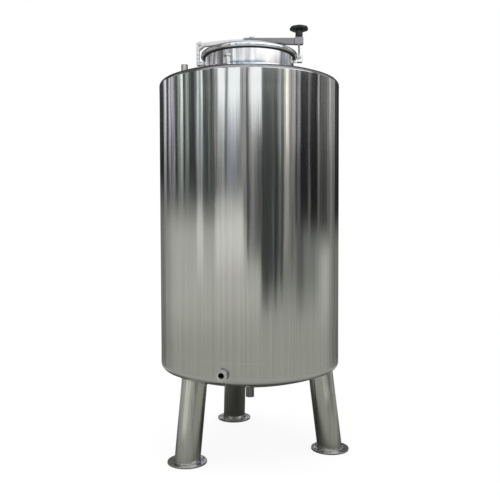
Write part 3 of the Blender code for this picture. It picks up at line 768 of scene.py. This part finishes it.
def slab(outline, half_width, middle_y=0.0, edge=0.0006):
    """A flat outline of (x, z), thickened along Y, with its two rims broken."""
    bm = bmesh.new()
    face = bm.faces.new([bm.verts.new((x, middle_y - half_width, z)) for x, z in outline])
    made = bmesh.ops.extrude_face_region(bm, geom=[face])["geom"]
    moved = [v for v in made if isinstance(v, bmesh.types.BMVert)]
    bmesh.ops.translate(bm, verts=moved, vec=(0, 2 * half_width, 0))
    bmesh.ops.recalc_face_normals(bm, faces=bm.faces)
    if edge:
        rims = [e for e in bm.edges if abs(e.verts[0].co.y - e.verts[1].co.y) < 1e-7]
        bmesh.ops.bevel(bm, geom=rims, offset=edge, segments=2, profile=0.6, affect="EDGES")
    return bm


print("bars have edges broken by", BROKEN_EDGE * 1000, "mm")

# %% [markdown]
# ## The shell
# The shell is one sheet, rolled to a cylinder, welded along the back and then polished. Rolling and
# polishing leave it a few tenths of a millimetre uneven, and it is this that makes the reflected
# streaks waver. A bump could fake that, but real points that lie a little inside the true cylinder
# also hold up close by. The weld to the bottom head's straight rim is ground flush and shows as a
# faint line, so the rows of points are close together there.

# %% Roll the shell
VESSEL_R = 0.400
WALL = 0.003
SHELL_LOW, SHELL_HIGH = 0.381, 1.600
GIRTH_WELD_Z = 0.4476
SHEET_PLAY = 0.0009  # the most by which the sheet lies inside a true cylinder
SHELL_SIDES = 288
OUTLET_AZIMUTH, OUTLET_Z, OUTLET_BORE = radians(254.3), 0.3971, 0.0108


def sheet_radius(angle, z):
    """The outer radius of the shell at one place."""
    broad = noise.noise(Vector((cos(angle) * 1.9, sin(angle) * 1.9, z * 1.3)))
    close = noise.noise(Vector((cos(angle) * 7.0, sin(angle) * 7.0, z * 2.2 + 9.0)))
    calm = min(1.0, (z - SHELL_LOW) / 0.06, (SHELL_HIGH - z) / 0.06)
    weld = 0.00010 * exp(-((z - GIRTH_WELD_Z) / 0.0022) ** 2)
    seam = 0.00025 if abs(angle - pi / 2) < 0.005 else 0.0
    return VESSEL_R - calm * (SHEET_PLAY * (0.5 + 0.35 * broad + 0.15 * close)) - weld - seam


levels = {SHELL_LOW + i * (SHELL_HIGH - SHELL_LOW) / 120 for i in range(121)}
levels |= {GIRTH_WELD_Z + i * 0.0012 for i in range(-7, 8)}
angles = turn_angles(SHELL_SIDES)
outside = [[polar(sheet_radius(a, z), a, z) for a in angles] for z in sorted(levels)]
inside = [circle(VESSEL_R - WALL, z, SHELL_SIDES) for z in (SHELL_HIGH, SHELL_LOW)]
drill = [polar(radius, OUTLET_AZIMUTH, OUTLET_Z) for radius in (VESSEL_R - 0.03, VESSEL_R + 0.03)]
shell = combine(skin(outside + inside, closed=True), bar(*drill, OUTLET_BORE))
add_piece("shell_sheet", shell, shell_finish, numbered("shell_panel", 8))

# %% [markdown]
# ## The dished heads
# Each end of the vessel is a disc of sheet pressed into a shallow dish, with a tight bend, the knuckle,
# where it turns into the straight wall. Its section is two arcs that meet smoothly: a long one about a
# point on the axis and a short one in the corner. That section is turned about the axis. The top one is
# bored for the manhole neck, the vent and the small ferrule, and the bottom one for the drain.

# %% Work out a head's outline
TOP_CROWN_R, TOP_KNUCKLE_R = 1.140, 0.018
BOTTOM_CROWN_R, BOTTOM_KNUCKLE_R = 1.050, 0.030
NECK_R = 0.199
DRAIN_R, DRAIN_BORE = 0.0190, 0.0170
VENT_PLACE, VENT_BORE = polar(0.2900, pi), 0.0130
FERRULE_PLACE, FERRULE_BORE = polar(0.2647, radians(250.8)), 0.0085


def dish(radius, crown, knuckle, hole=0.0, steps=28):
    """A dished end's outline from its hole to its rim, as (radius, height above the rim)."""
    depth = crown - sqrt((crown - knuckle) ** 2 - (radius - knuckle) ** 2)
    meet = asin((radius - knuckle) / (crown - knuckle))
    crowned = arc((0, depth - crown), crown, pi / 2 - asin(hole / crown), pi / 2 - meet, steps)
    return crowned[:-1] + arc((radius - knuckle, 0), knuckle, pi / 2 - meet, 0, 14)


def dish_height(r, radius, crown, knuckle):
    """The height of that outline above its rim at one distance from the axis."""
    depth = crown - sqrt((crown - knuckle) ** 2 - (radius - knuckle) ** 2)
    if r < crown * (radius - knuckle) / (crown - knuckle):
        return depth - crown + sqrt(crown ** 2 - r ** 2)
    return sqrt(max(0.0, knuckle ** 2 - (r - radius + knuckle) ** 2))


rise = dish_height(NECK_R, VESSEL_R, TOP_CROWN_R, TOP_KNUCKLE_R)
print("the top head rises by", round(rise, 4), "m to the neck")

# %% Press the two heads
def head(crown, knuckle, hole, rim_z, up):
    """The sheet of a head. It bulges upwards for 1 and downwards for -1."""
    outer = dish(VESSEL_R, crown, knuckle, hole)
    inner = dish(VESSEL_R - WALL, crown - WALL, knuckle - WALL, hole)
    return turned([(r, rim_z + up * h) for r, h in outer + inner[::-1]], SHELL_SIDES)


def top_z(r):
    """The height of the top head's outside."""
    return SHELL_HIGH + dish_height(r, VESSEL_R, TOP_CROWN_R, TOP_KNUCKLE_R)


def bottom_z(r):
    return SHELL_LOW - dish_height(r, VESSEL_R, BOTTOM_CROWN_R, BOTTOM_KNUCKLE_R)


top_head = head(TOP_CROWN_R, TOP_KNUCKLE_R, NECK_R, SHELL_HIGH, 1)
for place, radius in ((VENT_PLACE, VENT_BORE), (FERRULE_PLACE, FERRULE_BORE)):
    top_head = combine(top_head, bar(place + UP * 1.55, place + UP * 1.75, radius))
add_piece("top_dished_head", top_head, head_finish, numbered("top_head_sector", 6))
bottom_head = head(BOTTOM_CROWN_R, BOTTOM_KNUCKLE_R, DRAIN_BORE, SHELL_LOW, -1)
add_piece("bottom_dished_head", bottom_head, head_finish, numbered("bottom_head_sector", 6))
print("the heads' middles are at", round(top_z(0), 4), "and", round(bottom_z(0), 4))

# %% [markdown]
# ## Weld beads
# Where a pipe meets a plate, the welder lays a thin rope of metal, drop by drop. A bead here is a small
# tube that follows a path, and its thickness rises and falls once for each drop. The same helper
# serves the neck, the nozzles, the legs and the brackets, since only the path differs.

# %% A helper for weld beads
RIPPLE_PITCH = 0.0026
RIPPLE = 0.13
BEAD_SIDES = 10


def bead(path, radius, closed=True):
    """A rippled rope of weld metal along a path of points."""
    loops = []
    travelled = 0.0
    for i, here in enumerate(path):
        back = path[i - 1] if closed or i else here
        ahead = path[(i + 1) % len(path)] if closed or i + 1 < len(path) else here
        travelled += (here - back).length
        along = (ahead - back).normalized()
        side = along.orthogonal() if abs(along.z) > 0.9 else along.cross(UP)
        side.normalize()
        rise = along.cross(side)
        phase = travelled / RIPPLE_PITCH % 1.0
        thick = radius * (1 + RIPPLE * (1 - 2 * phase) * (1 if phase < 0.85 else -0.5))
        if not closed and i in (0, len(path) - 1):
            thick = radius * 0.3
        ring = turn_angles(BEAD_SIDES)
        loops.append([here + side * thick * cos(a) + rise * thick * sin(a) for a in ring])
    if not closed:
        loops = [[path[0]]] + loops + [[path[-1]]]
    return skin(loops, closed)


def ring_path(radius, z, step=0.0007):
    """A closed level path about the axis."""
    return circle(radius, z, round(2 * pi * radius / step))


def weld(name, path, radius, slot, closed=True):
    """A bead as a piece of the tank."""
    add_piece(name, bead(path, radius, closed), weld_finish)


print("a bead has a ripple every", RIPPLE_PITCH * 1000, "mm")

# %% [markdown]
# ## The manhole neck and its gasket
# The neck is a short cylinder welded into the top head. Its upper rim carries a black rubber ring with
# soft lips, and the lid's rolled edge holds it. From below, as the camera looks, the ring shows as a
# black line between the lid and the neck.

# %% Make the neck, its weld and the gasket
NECK_LOW, NECK_HIGH = 1.6550, 1.7315
neck_in = NECK_R - WALL
neck_sheet = [(neck_in, NECK_LOW), (NECK_R, NECK_LOW), (NECK_R, NECK_HIGH), (neck_in, NECK_HIGH)]
neck = turned(soften(neck_sheet, 0.0011), 256)
add_piece("neck_cylinder", neck, neck_finish, ["manhole_neck"])
weld("neck_weld", ring_path(NECK_R + 0.0010, top_z(NECK_R) + 0.0006), 0.0028, "neck_steel")

LID_R, LID_SHEET, LID_CURL_R = 0.2160, 0.0025, 0.0059
GASKET_IN, GASKET_LOW, GASKET_HIGH = 0.190, 1.7318, 1.7475
HEM_IN = 0.2062  # where the lid's rolled edge ends under the ring
gasket_out = LID_R - LID_CURL_R - 0.0003
gasket_lips = [
    (GASKET_IN, GASKET_LOW, 0.0010), (NECK_R + 0.0015, GASKET_LOW, 0.0005),
    (NECK_R + 0.0030, GASKET_LOW + 0.0010, 0.0010), (HEM_IN - 0.0015, GASKET_LOW + 0.0004, 0.0010),
    (HEM_IN - 0.0003, GASKET_LOW + 0.0030, 0.0010), (HEM_IN - 0.0003, GASKET_LOW + 0.0066, 0.0005),
    (gasket_out, GASKET_LOW + 0.0066, 0.0010), (gasket_out, GASKET_HIGH, 0.0020),
    (GASKET_IN, GASKET_HIGH, 0.0030),
]
add_piece("gasket_ring", turned(soften(gasket_lips), 192), gasket_finish, ["lid_gasket"], "lid")

# %% [markdown]
# ## The lid
# The lid is spun from one sheet over a former: a shallow crown, a tight knuckle, a short straight band
# and an edge that is rolled inwards under it, which stiffens the lid and grips the rubber ring. Spinning
# leaves faint rings about the middle, which the finish adds. The outline goes over the outside, round the
# rolled edge and back along the inside, so the lid has its real thickness when it is open.

# %% Spin the lid
LID_KNUCKLE_R = 0.0105
LID_RIM_Z, LID_TOP = 1.7414, 1.7935
LID_RIM_HEIGHT = 0.0041  # the straight band between the rolled edge and the knuckle
lid_flat, lid_depth = LID_R - LID_KNUCKLE_R, LID_TOP - LID_RIM_Z - LID_RIM_HEIGHT
LID_CROWN_R = (lid_depth ** 2 - LID_KNUCKLE_R ** 2 + lid_flat ** 2) / (2 * (lid_depth - LID_KNUCKLE_R))
lid_faces = []
for inward in (0, LID_SHEET):
    crown = dish(LID_R - inward, LID_CROWN_R - inward, LID_KNUCKLE_R - inward, steps=36)
    rolled = arc((LID_R - LID_CURL_R, 0), LID_CURL_R - inward, 0, -pi / 2, 10)
    crown = [(r, h + LID_RIM_HEIGHT) for r, h in crown]
    lid_faces.append([(r, LID_RIM_Z + h, 0.0) for r, h in crown + rolled])
over, under = lid_faces
hem = [(HEM_IN, over[-1][1], 0.0008), (HEM_IN, under[-1][1], 0.0008)]
add_piece("spun_lid", spun(over + hem + under[::-1], 256), lid_finish, ["lid_cover"], "lid")
print("the lid's crown has a radius of", round(LID_CROWN_R, 3), "m")

# %% [markdown]
# ## The clamp's lever and its fork
# A flat bar bent over the lid carries it: it turns on the hinge at the left, holds the lid's stud in its
# middle and ends in a forked block at the right, through which the swing bolt passes. The bar is cut
# from plate, so it is an outline with thickness, its bends are soft and its edges broken. Holes are
# drilled with a Boolean, because they really go through.

# %% Bend the lever
HINGE_X, HINGE_Z = -0.2205, 1.7940
LEVER_TOP, LEVER_LOW, LEVER_HALF_WIDTH = 1.8268, 1.8037, 0.010
LEVER_END, FORK_LOW = 0.2034, 1.7985
STUD_X = 0.012
PIN_CLEAR = 0.0003
HINGE_PIN_R, STUD_R = 0.005, 0.008


def across(x, z, radius):
    """A round bar along Y, longer than the pieces that it bores."""
    return bar((x, -0.03, z), (x, 0.03, z), radius, 40)


eye = [(x, z, 0.0) for x, z in arc((HINGE_X, HINGE_Z), 0.0135, radians(110), radians(270), 24)]
lever_outline = eye + [
    (-0.204, 1.7885, 0.012), (-0.149, 1.7955, 0.020), (-0.090, 1.8011, 0.020),
    (-0.0275, LEVER_LOW, 0.010), (0.146, LEVER_LOW, 0.004), (0.158, FORK_LOW, 0.004),
    (LEVER_END, FORK_LOW, 0.001), (LEVER_END, LEVER_TOP, 0.001), (-0.0275, LEVER_TOP, 0.0015),
    (-0.0275, 1.8214, 0.0030), (-0.090, 1.8188, 0.020), (-0.149, 1.8132, 0.020),
    (-0.204, 1.8062, 0.012),
]
lever = slab(soften(lever_outline, steps=5), LEVER_HALF_WIDTH, edge=0.0012)
lever = combine(lever, across(HINGE_X, HINGE_Z, HINGE_PIN_R + PIN_CLEAR))
lever = combine(lever, bar((STUD_X, 0, 1.79), (STUD_X, 0, 1.84), STUD_R + PIN_CLEAR))
add_piece("bent_lever", lever, lever_finish, ["clamp_lever"], "lid")

# %% Cut the forked block
BOLT_X, BOLT_PIN_Z = 0.2240, 1.7370
FORK_IN, FORK_OUT = LEVER_END, 0.2431
FORK_HALF_WIDTH, SLOT_HALF = 0.013, 0.0065
HUB_LOW = 1.8315
fork_crown = HUB_LOW - 0.001 - BOLT_PIN_Z
crown_ends = [atan2(fork_crown, x - BOLT_X) for x in (FORK_OUT, FORK_IN)]
crown_arc = arc((BOLT_X, BOLT_PIN_Z), fork_crown, *crown_ends, 16)
fork_outline = [(FORK_IN, FORK_LOW, 0.001), (FORK_OUT, FORK_LOW, 0.002)]
fork_outline += [(x, z, 0.0005) for x, z in crown_arc]
fork = slab(soften(fork_outline, steps=3), FORK_HALF_WIDTH, edge=0.0012)
slot_outline = [(BOLT_X - SLOT_HALF, 1.77), (0.27, 1.77), (0.27, 1.85), (BOLT_X - SLOT_HALF, 1.85)]
fork = combine(fork, slab(slot_outline, SLOT_HALF, edge=0.0))
add_piece("forked_block", fork, fork_finish, ["lever_fork"], "lid")

# %% [markdown]
# ## The stud that carries the lid
# The lid hangs on a stud: a round collar welded to its crown, a neck through the lever and a hexagon nut
# on top, with the stud's domed end just showing. A nut's hexagon is a circle whose radius changes with the
# angle, and its upper corners are cut by a cone, so each row of points takes the smaller of two radii.

# %% Make the stud and its nut
STUD_TOP = 1.8335
NUT_CORNER_R, NUT_LOW = 0.0115, LEVER_TOP + 0.0003


def hexagon(angle, corner_r):
    flat = corner_r * cos(pi / 6)
    return flat / cos((angle % (pi / 3)) - pi / 6)


def nut(corner_r, low, high, bore, sides=72):
    """A hexagon nut with its upper corners cut by a cone."""
    loops = [circle(bore, low, sides)]
    for z, share in ((low, 1), (high - 0.0012, 1), (high - 0.0006, 0.95), (high, 0.88)):
        cone = corner_r * share
        loops.append([polar(min(hexagon(a, corner_r), cone), a, z) for a in turn_angles(sides)])
    loops.append(circle(bore, high, sides))
    return skin(loops, closed=True)


stud_outline = [
    (0, STUD_TOP), (0.0042, STUD_TOP, 0.001), (0.0050, STUD_TOP - 0.0016, 0.0004),
    (0.0050, NUT_LOW, 0.0), (STUD_R, NUT_LOW, 0.0), (STUD_R, LEVER_LOW - 0.0003, 0.0),
    (0.0160, LEVER_LOW - 0.0003, 0.0010), (0.0160, LID_TOP + 0.0012, 0.0015),
    (0.0185, LID_TOP + 0.0003, 0.0), (0, LID_TOP + 0.0003),
]
stud_place = (STUD_X, 0, 0)
stud = spun(stud_outline, 64, 3)
add_piece("collar_stud", stud, clamp_finish, ["lid_stud"], "lid", stud_place)
stud_nut = nut(NUT_CORNER_R, NUT_LOW, STUD_TOP - 0.0010, 0.0052)
add_piece("stud_nut", stud_nut, clamp_finish, body="lid", place=stud_place)

# %% [markdown]
# ## The hinge and the latch lug
# Both are pairs of plates welded to the neck. The hinge's cheeks rise high beside the lid and hold a
# headed pin. The lug's cheeks are L-shaped and notched open to the top for the swing bolt's cross pin.
# Two outlines and a web are joined into one body each, then short beads are laid along their feet.

# %% Cut and weld the hinge
def cheeks(outline, inner_y, thickness, web_low, web_high):
    """Two like plates either side of the X-Z plane, joined by a web between two (x, z) corners."""
    half = thickness / 2
    first = slab(outline, half, inner_y + half)
    second = slab(outline, half, -inner_y - half)
    (x0, z0), (x1, z1) = web_low, web_high
    web = slab([(x0, z0), (x1, z0), (x1, z1), (x0, z1)], inner_y + 0.002, edge=0.0)
    return combine(combine(first, web, "UNION"), second, "UNION")


def foot_welds(name, x, y, low, high, radius=0.0016):
    """Short upright beads beside the feet of a pair of cheeks."""
    steps = round((high - low) / 0.0006)
    for label, side in (("front", -y), ("rear", y)):
        path = [Vector((x, side, low + (high - low) * i / steps)) for i in range(steps + 1)]
        weld(f"{name}_{label}", path, radius, "clamp_steel", closed=False)


hinge_seat = -NECK_R - 0.0003
hinge_head = arc((HINGE_X, HINGE_Z), 0.0160, radians(-80), radians(180), 32)
hinge_outline = [
    (-0.2355, 1.7055, 0.003), (hinge_seat, 1.7055, 0.0005), (hinge_seat, 1.7210, 0.0005),
    (-0.2220, 1.7210, 0.003), (-0.2220, 1.7715, 0.004),
] + [(x, z, 0.0) for x, z in hinge_head]
hinge_web = (hinge_seat - 0.0045, 1.7055), (hinge_seat, 1.7210)
hinge = cheeks(soften(hinge_outline), 0.0112, 0.005, *hinge_web)
hinge = combine(hinge, across(HINGE_X, HINGE_Z, HINGE_PIN_R + PIN_CLEAR))
add_piece("hinge_cheeks", hinge, clamp_finish, ["hinge_bracket"])
foot_welds("hinge_weld", -NECK_R - 0.0010, 0.0170, 1.7065, 1.7200)


def headed(x, z, grip, radius, head_r, head):
    """A pin along Y with a broad head at each end."""
    outline = [
        (0, -grip - head), (head_r, -grip - head, 0.001), (head_r, -grip, 0.0003), (radius, -grip, 0.0),
        (radius, grip, 0.0), (head_r, grip, 0.0003), (head_r, grip + head, 0.001), (0, grip + head),
    ]
    return aimed(spun(outline, 48, 3), (x, 0, z), (0, 1, 0))


hinge_pin = headed(HINGE_X, HINGE_Z, 0.0165, HINGE_PIN_R, 0.008, 0.003)
add_piece("headed_hinge_pin", hinge_pin, nozzle_finish, ["hinge_pin"])

# %% Cut and weld the latch lug
lug_seat = NECK_R + 0.0003
lug_outline = [
    (lug_seat, 1.7190, 0.0005), (0.2400, 1.7190, 0.002), (0.2400, 1.7520, 0.002),
    (0.2320, 1.7520, 0.002), (0.2320, 1.7315, 0.002), (0.2185, 1.7315, 0.001),
    (0.2185, 1.7245, 0.002), (lug_seat, 1.7245, 0.0005),
]
lug = cheeks(soften(lug_outline), 0.0088, 0.0045, (lug_seat, 1.7190), (lug_seat + 0.004, 1.7245))
add_piece("lug_cheeks", lug, clamp_finish, ["latch_lug"])
foot_welds("lug_weld", NECK_R + 0.0008, 0.0140, 1.7195, 1.7240, 0.0014)

# %% [markdown]
# ## The swing bolt
# The bolt is a threaded bar with an eye at its foot. A screw thread is a ridge that climbs by one pitch
# each turn. Seen as rows of points, that is a radius which depends on the height and on the angle together,
# so the thread needs no separate winding: each row is the one below, turned a little further.

# %% Cut the thread and the eye
BOLT_R, BOLT_TOP = 0.0050, 1.8700
THREAD_PITCH, THREAD_DEPTH = 0.0015, 0.0007
THREAD_LOW = 1.7560


def threaded(low, thread_low, high, radius, sides=28):
    """A round bar along Z whose upper part carries a thread."""
    rows = [[(0, 0, low)], circle(radius, low, sides), circle(radius, thread_low - THREAD_PITCH, sides)]
    count = round((high - 0.001 - thread_low) / (THREAD_PITCH / 5))
    for i in range(count + 1):
        z = thread_low + (high - 0.001 - thread_low) * i / count
        fade = min(1.0, (z - thread_low) / THREAD_PITCH)
        row = []
        for k, angle in enumerate(turn_angles(sides)):
            climb = ((z - thread_low) / THREAD_PITCH - k / sides) % 1.0
            row.append(polar(radius - THREAD_DEPTH * fade * (1 - abs(2 * climb - 1)), angle, z))
        rows.append(row)
    rows += [circle(radius - 0.001, high, sides), [(0, 0, high)]]
    return skin(rows)


eye_outline = [(0.0043, -0.007), (0.008, -0.007), (0.008, 0.007), (0.0043, 0.007)]
bolt_eye = aimed(turned(soften(eye_outline, 0.0010, 3), 48), (0, 0, 0), (0, 1, 0))
bolt = threaded(0.0075, THREAD_LOW - BOLT_PIN_Z, BOLT_TOP - BOLT_PIN_Z, BOLT_R)
bolt_place = (BOLT_X, 0, BOLT_PIN_Z)
cross_pin = headed(0, 0, 0.0143, 0.004, 0.006, 0.003)
bolt_pieces = [
    ("threaded_bolt", bolt, ["swing_bolt"]), ("bolt_eye", bolt_eye, []),
    ("headed_cross_pin", cross_pin, ["bolt_cross_pin"]),
]
for name, mesh, nodes in bolt_pieces:
    add_piece(name, mesh, nozzle_finish, nodes, "clamp_bolt", bolt_place)

# %% [markdown]
# ## The hand knob
# A lobed knob gives wet fingers a grip. It is moulded in one with its hub. Its section is an ordinary
# turned outline, but where it bulges outwards the radius also dips seven times round the turn, and the
# dips fade out towards the hub and the top, as a mould maker would blend them. The knob is flat, with
# a rim as thin as a finger.

# %% Mould the knob
KNOB_R, KNOB_MIDDLE = 0.042, 1.8690
LOBES, LOBE_SHARE, LOBE_START = 7, 0.07, -pi / 2
LOBES_IN = 0.018  # the radius where the lobes have faded out
HUB_R = 0.0165
knob_outline = [
    (0, BOLT_TOP + 0.0003), (BOLT_R + 0.0003, BOLT_TOP + 0.0003, 0.0),
    (BOLT_R + 0.0003, HUB_LOW, 0.0008), (HUB_R - 0.0010, HUB_LOW, 0.0010),
    (HUB_R, HUB_LOW + 0.003, 0.002), (HUB_R, KNOB_MIDDLE - 0.0105, 0.003),
    (0.0200, KNOB_MIDDLE - 0.0105, 0.003), (0.0320, KNOB_MIDDLE - 0.0084, 0.004),
    (0.0405, KNOB_MIDDLE - 0.0060, 0.002), (KNOB_R, KNOB_MIDDLE - 0.0034, 0.002),
    (KNOB_R, KNOB_MIDDLE + 0.0034, 0.002), (0.0405, KNOB_MIDDLE + 0.0060, 0.002),
    (0.0320, KNOB_MIDDLE + 0.0084, 0.004), (0.0200, KNOB_MIDDLE + 0.0105, 0.004),
    (0.0120, KNOB_MIDDLE + 0.0101, 0.002), (0.0105, KNOB_MIDDLE + 0.0075, 0.001),
    (0, KNOB_MIDDLE + 0.0069),
]
knob_rows = []
for r, z in soften(knob_outline, steps=6, closed=False):
    if r < 1e-6:
        knob_rows.append([(0, 0, z)])
        continue
    dip = LOBE_SHARE * max(0.0, min(1.0, (r - LOBES_IN) / (KNOB_R - LOBES_IN)))
    row = []
    for angle in turn_angles(LOBES * 24):
        row.append(polar(r * (1 - dip * (1 - cos(LOBES * (angle - LOBE_START))) / 2), angle, z))
    knob_rows.append(row)
add_piece("lobed_knob", skin(knob_rows), knob_finish, ["hand_knob"], "knob", (BOLT_X, 0, 0))

# %% [markdown]
# ## Legs and feet
# Each leg is a pipe that leans inwards as it rises, so that the load from the shell's wall reaches the
# floor on a wide stance. Its upper end is cut to fit the dished head. To find that cut, every line
# along the pipe is followed upwards until it meets the head's surface, by halving the step again and
# again. The same closed line then guides the weld bead.

# %% Find where each line along a leg meets the head
LEG_R, LEG_WALL, LEG_LEAN = 0.054, 0.003, 0.124
FOOT_RADIUS_OUT, FOOT_R, FOOT_THICK = 0.3668, 0.0825, 0.008
LEGS = {"right": radians(-15.8), "rear": radians(102.8), "left": radians(224.2)}
LEG_SIDES = 120


def leg_line(azimuth, radius, angle, z):
    """A point at one height on one of the lines along a leg's wall."""
    out = polar(1, azimuth)
    along = (UP - LEG_LEAN * out).normalized()
    sideways = polar(1, azimuth + pi / 2)
    outward = sideways.cross(along)
    start = out * FOOT_RADIUS_OUT + radius * (cos(angle) * outward + sin(angle) * sideways)
    return start + along * ((z - start.z) / along.z)


def leg_top(azimuth, radius, angle):
    low, high = 0.20, 0.40
    for _ in range(32):
        middle = (low + high) / 2
        point = leg_line(azimuth, radius, angle, middle)
        if point.z < bottom_z(min(hypot(point.x, point.y), VESSEL_R)):
            low = middle
        else:
            high = middle
    return leg_line(azimuth, radius, angle, low - 0.0002)


print("the left leg's front line meets the head at", round(leg_top(LEGS["left"], LEG_R, 0).z, 4))

# %% Make the legs, their welds and their feet
LEG_ROWS = 16
for side, azimuth in LEGS.items():
    rows = []
    for radius, order in ((LEG_R, 1), (LEG_R - LEG_WALL, -1)):
        low = [leg_line(azimuth, radius, a, FOOT_THICK + 0.0003) for a in turn_angles(LEG_SIDES)]
        high = [leg_top(azimuth, radius, a) for a in turn_angles(LEG_SIDES)]
        wall = [[l.lerp(h, i / LEG_ROWS) for l, h in zip(low, high)] for i in range(LEG_ROWS + 1)]
        rows += wall[::order]
    middle = polar(FOOT_RADIUS_OUT - LEG_LEAN * 0.17, azimuth)
    pipe = skin([[p - middle for p in row] for row in rows], closed=True)
    add_piece(f"pipe_leg_{side}", pipe, leg_finishes[side], [f"leg_{side}"], place=middle)
    head_path = [leg_top(azimuth, LEG_R + 0.0008, a) for a in turn_angles(520)]
    weld(f"leg_head_weld_{side}", head_path, 0.0021, "leg_steel")
    foot_path = [leg_line(azimuth, LEG_R + 0.0010, a, FOOT_THICK + 0.0009) for a in turn_angles(520)]
    weld(f"leg_foot_weld_{side}", foot_path, 0.0024, "leg_steel")
    plate = spun([(0, 0), (FOOT_R, 0, 0.0008), (FOOT_R, FOOT_THICK, 0.0022), (0, FOOT_THICK)], 160, 5)
    foot = polar(FOOT_RADIUS_OUT, azimuth)
    add_piece(f"round_foot_{side}", plate, foot_finish, [f"foot_plate_{side}"], place=foot)

# %% [markdown]
# ## Nozzles
# Four short pipes lead into the vessel: the outlet low on the shell, the drain under the bottom head, the
# vent at the left of the top head and a small ferrule in front of the neck. All are turned outlines with
# a real bore. The two that take a clamped fitting end in a flange with a bevelled back, and the outlet's
# flange has a groove in its face for a sealing ring.

# %% Turn the outlet and the drain
OUTLET_REACH, OUTLET_R, OUTLET_FLANGE_R = 0.0215, 0.0127, 0.0252
outlet_outline = [
    (OUTLET_BORE, OUTLET_REACH - 0.0045, 0.0006), (OUTLET_BORE + 0.0020, OUTLET_REACH, 0.0006),
    (0.0203, OUTLET_REACH, 0.0003), (0.0211, OUTLET_REACH - 0.0018, 0.0003),
    (0.0221, OUTLET_REACH - 0.0018, 0.0003), (0.0229, OUTLET_REACH, 0.0003),
    (OUTLET_FLANGE_R, OUTLET_REACH, 0.0006), (OUTLET_FLANGE_R, OUTLET_REACH - 0.0028, 0.0006),
    (OUTLET_R, OUTLET_REACH - 0.0064, 0.0015), (OUTLET_R, -0.0020, 0.0),
    (OUTLET_BORE, -0.0020, 0.0),
]
outlet = aimed(turned(soften(outlet_outline), 72), (0, 0, 0), polar(1, OUTLET_AZIMUTH))
outlet_root = polar(VESSEL_R, OUTLET_AZIMUTH, OUTLET_Z)
add_piece("flanged_outlet", outlet, outlet_finish, ["side_outlet"], place=outlet_root)


def outlet_weld_point(angle, radius=OUTLET_R + 0.0009):
    """A point of the line where the outlet's pipe meets the round shell."""
    swing = asin(radius * cos(angle) / VESSEL_R)
    return polar(VESSEL_R + 0.0002, OUTLET_AZIMUTH + swing, OUTLET_Z + radius * sin(angle))


weld("outlet_weld", [outlet_weld_point(a) for a in turn_angles(160)], 0.0017, "nozzle_steel")

DRAIN_LOW = 0.2075
drain_outline = [(DRAIN_BORE, DRAIN_LOW), (DRAIN_R, DRAIN_LOW)]
drain_outline += [(r, bottom_z(r) + 0.001) for r in (DRAIN_R, DRAIN_BORE)]
drain = turned(soften(drain_outline, 0.0006), 72)
add_piece("drain_pipe", drain, drain_finish, ["drain_stub"])
weld("drain_weld", ring_path(DRAIN_R + 0.0008, bottom_z(DRAIN_R) - 0.0004), 0.0018, "nozzle_steel")

# %% Turn the vent and the ferrule
def root_z(place, radius):
    """A height just inside the top head's sheet, all round a nozzle's foot."""
    return top_z(hypot(place.x, place.y) + radius) - 0.0005


def upright_nozzle(name, outline, place, node, finish):
    """A nozzle that stands on the top head, with the bead round its foot."""
    foot_r = outline[-1][0]
    inside = [(outline[0][0], root_z(place, foot_r), 0.0)]
    outline = outline + [(foot_r, inside[0][1], 0.0)] + inside
    add_piece(name, turned(soften(outline), 64), finish, [node], place=place)
    path = [place + point for point in circle(foot_r + 0.0008, 0, 140)]
    for point in path:
        point.z = top_z(hypot(point.x, point.y)) + 0.0003
    weld(f"{name}_weld", path, 0.0015, "nozzle_steel")


VENT_TOP, VENT_R = 1.7100, 0.0150
vent_outline = [(VENT_BORE, VENT_TOP, 0.0005), (VENT_R, VENT_TOP, 0.0005)]
upright_nozzle("vent_pipe", vent_outline, VENT_PLACE, "vent_stub", nozzle_finish)
FERRULE_TOP, FERRULE_R, FERRULE_FLANGE_R = 1.6880, 0.0110, 0.0180
ferrule_outline = [
    (FERRULE_BORE, FERRULE_TOP, 0.0005), (FERRULE_FLANGE_R, FERRULE_TOP, 0.0010),
    (FERRULE_FLANGE_R, FERRULE_TOP - 0.0060, 0.0010), (FERRULE_R, FERRULE_TOP - 0.0090, 0.0015),
]
upright_nozzle("flanged_ferrule", ferrule_outline, FERRULE_PLACE, "top_ferrule", clamp_finish)

# %% Compare the boxes and finish
bpy.context.view_layer.update()
dressed_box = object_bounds()
for label, box in (("solids", cad_box), ("dressed", dressed_box)):
    print(label, [round(high - low, 4) for low, high in zip(*box)])
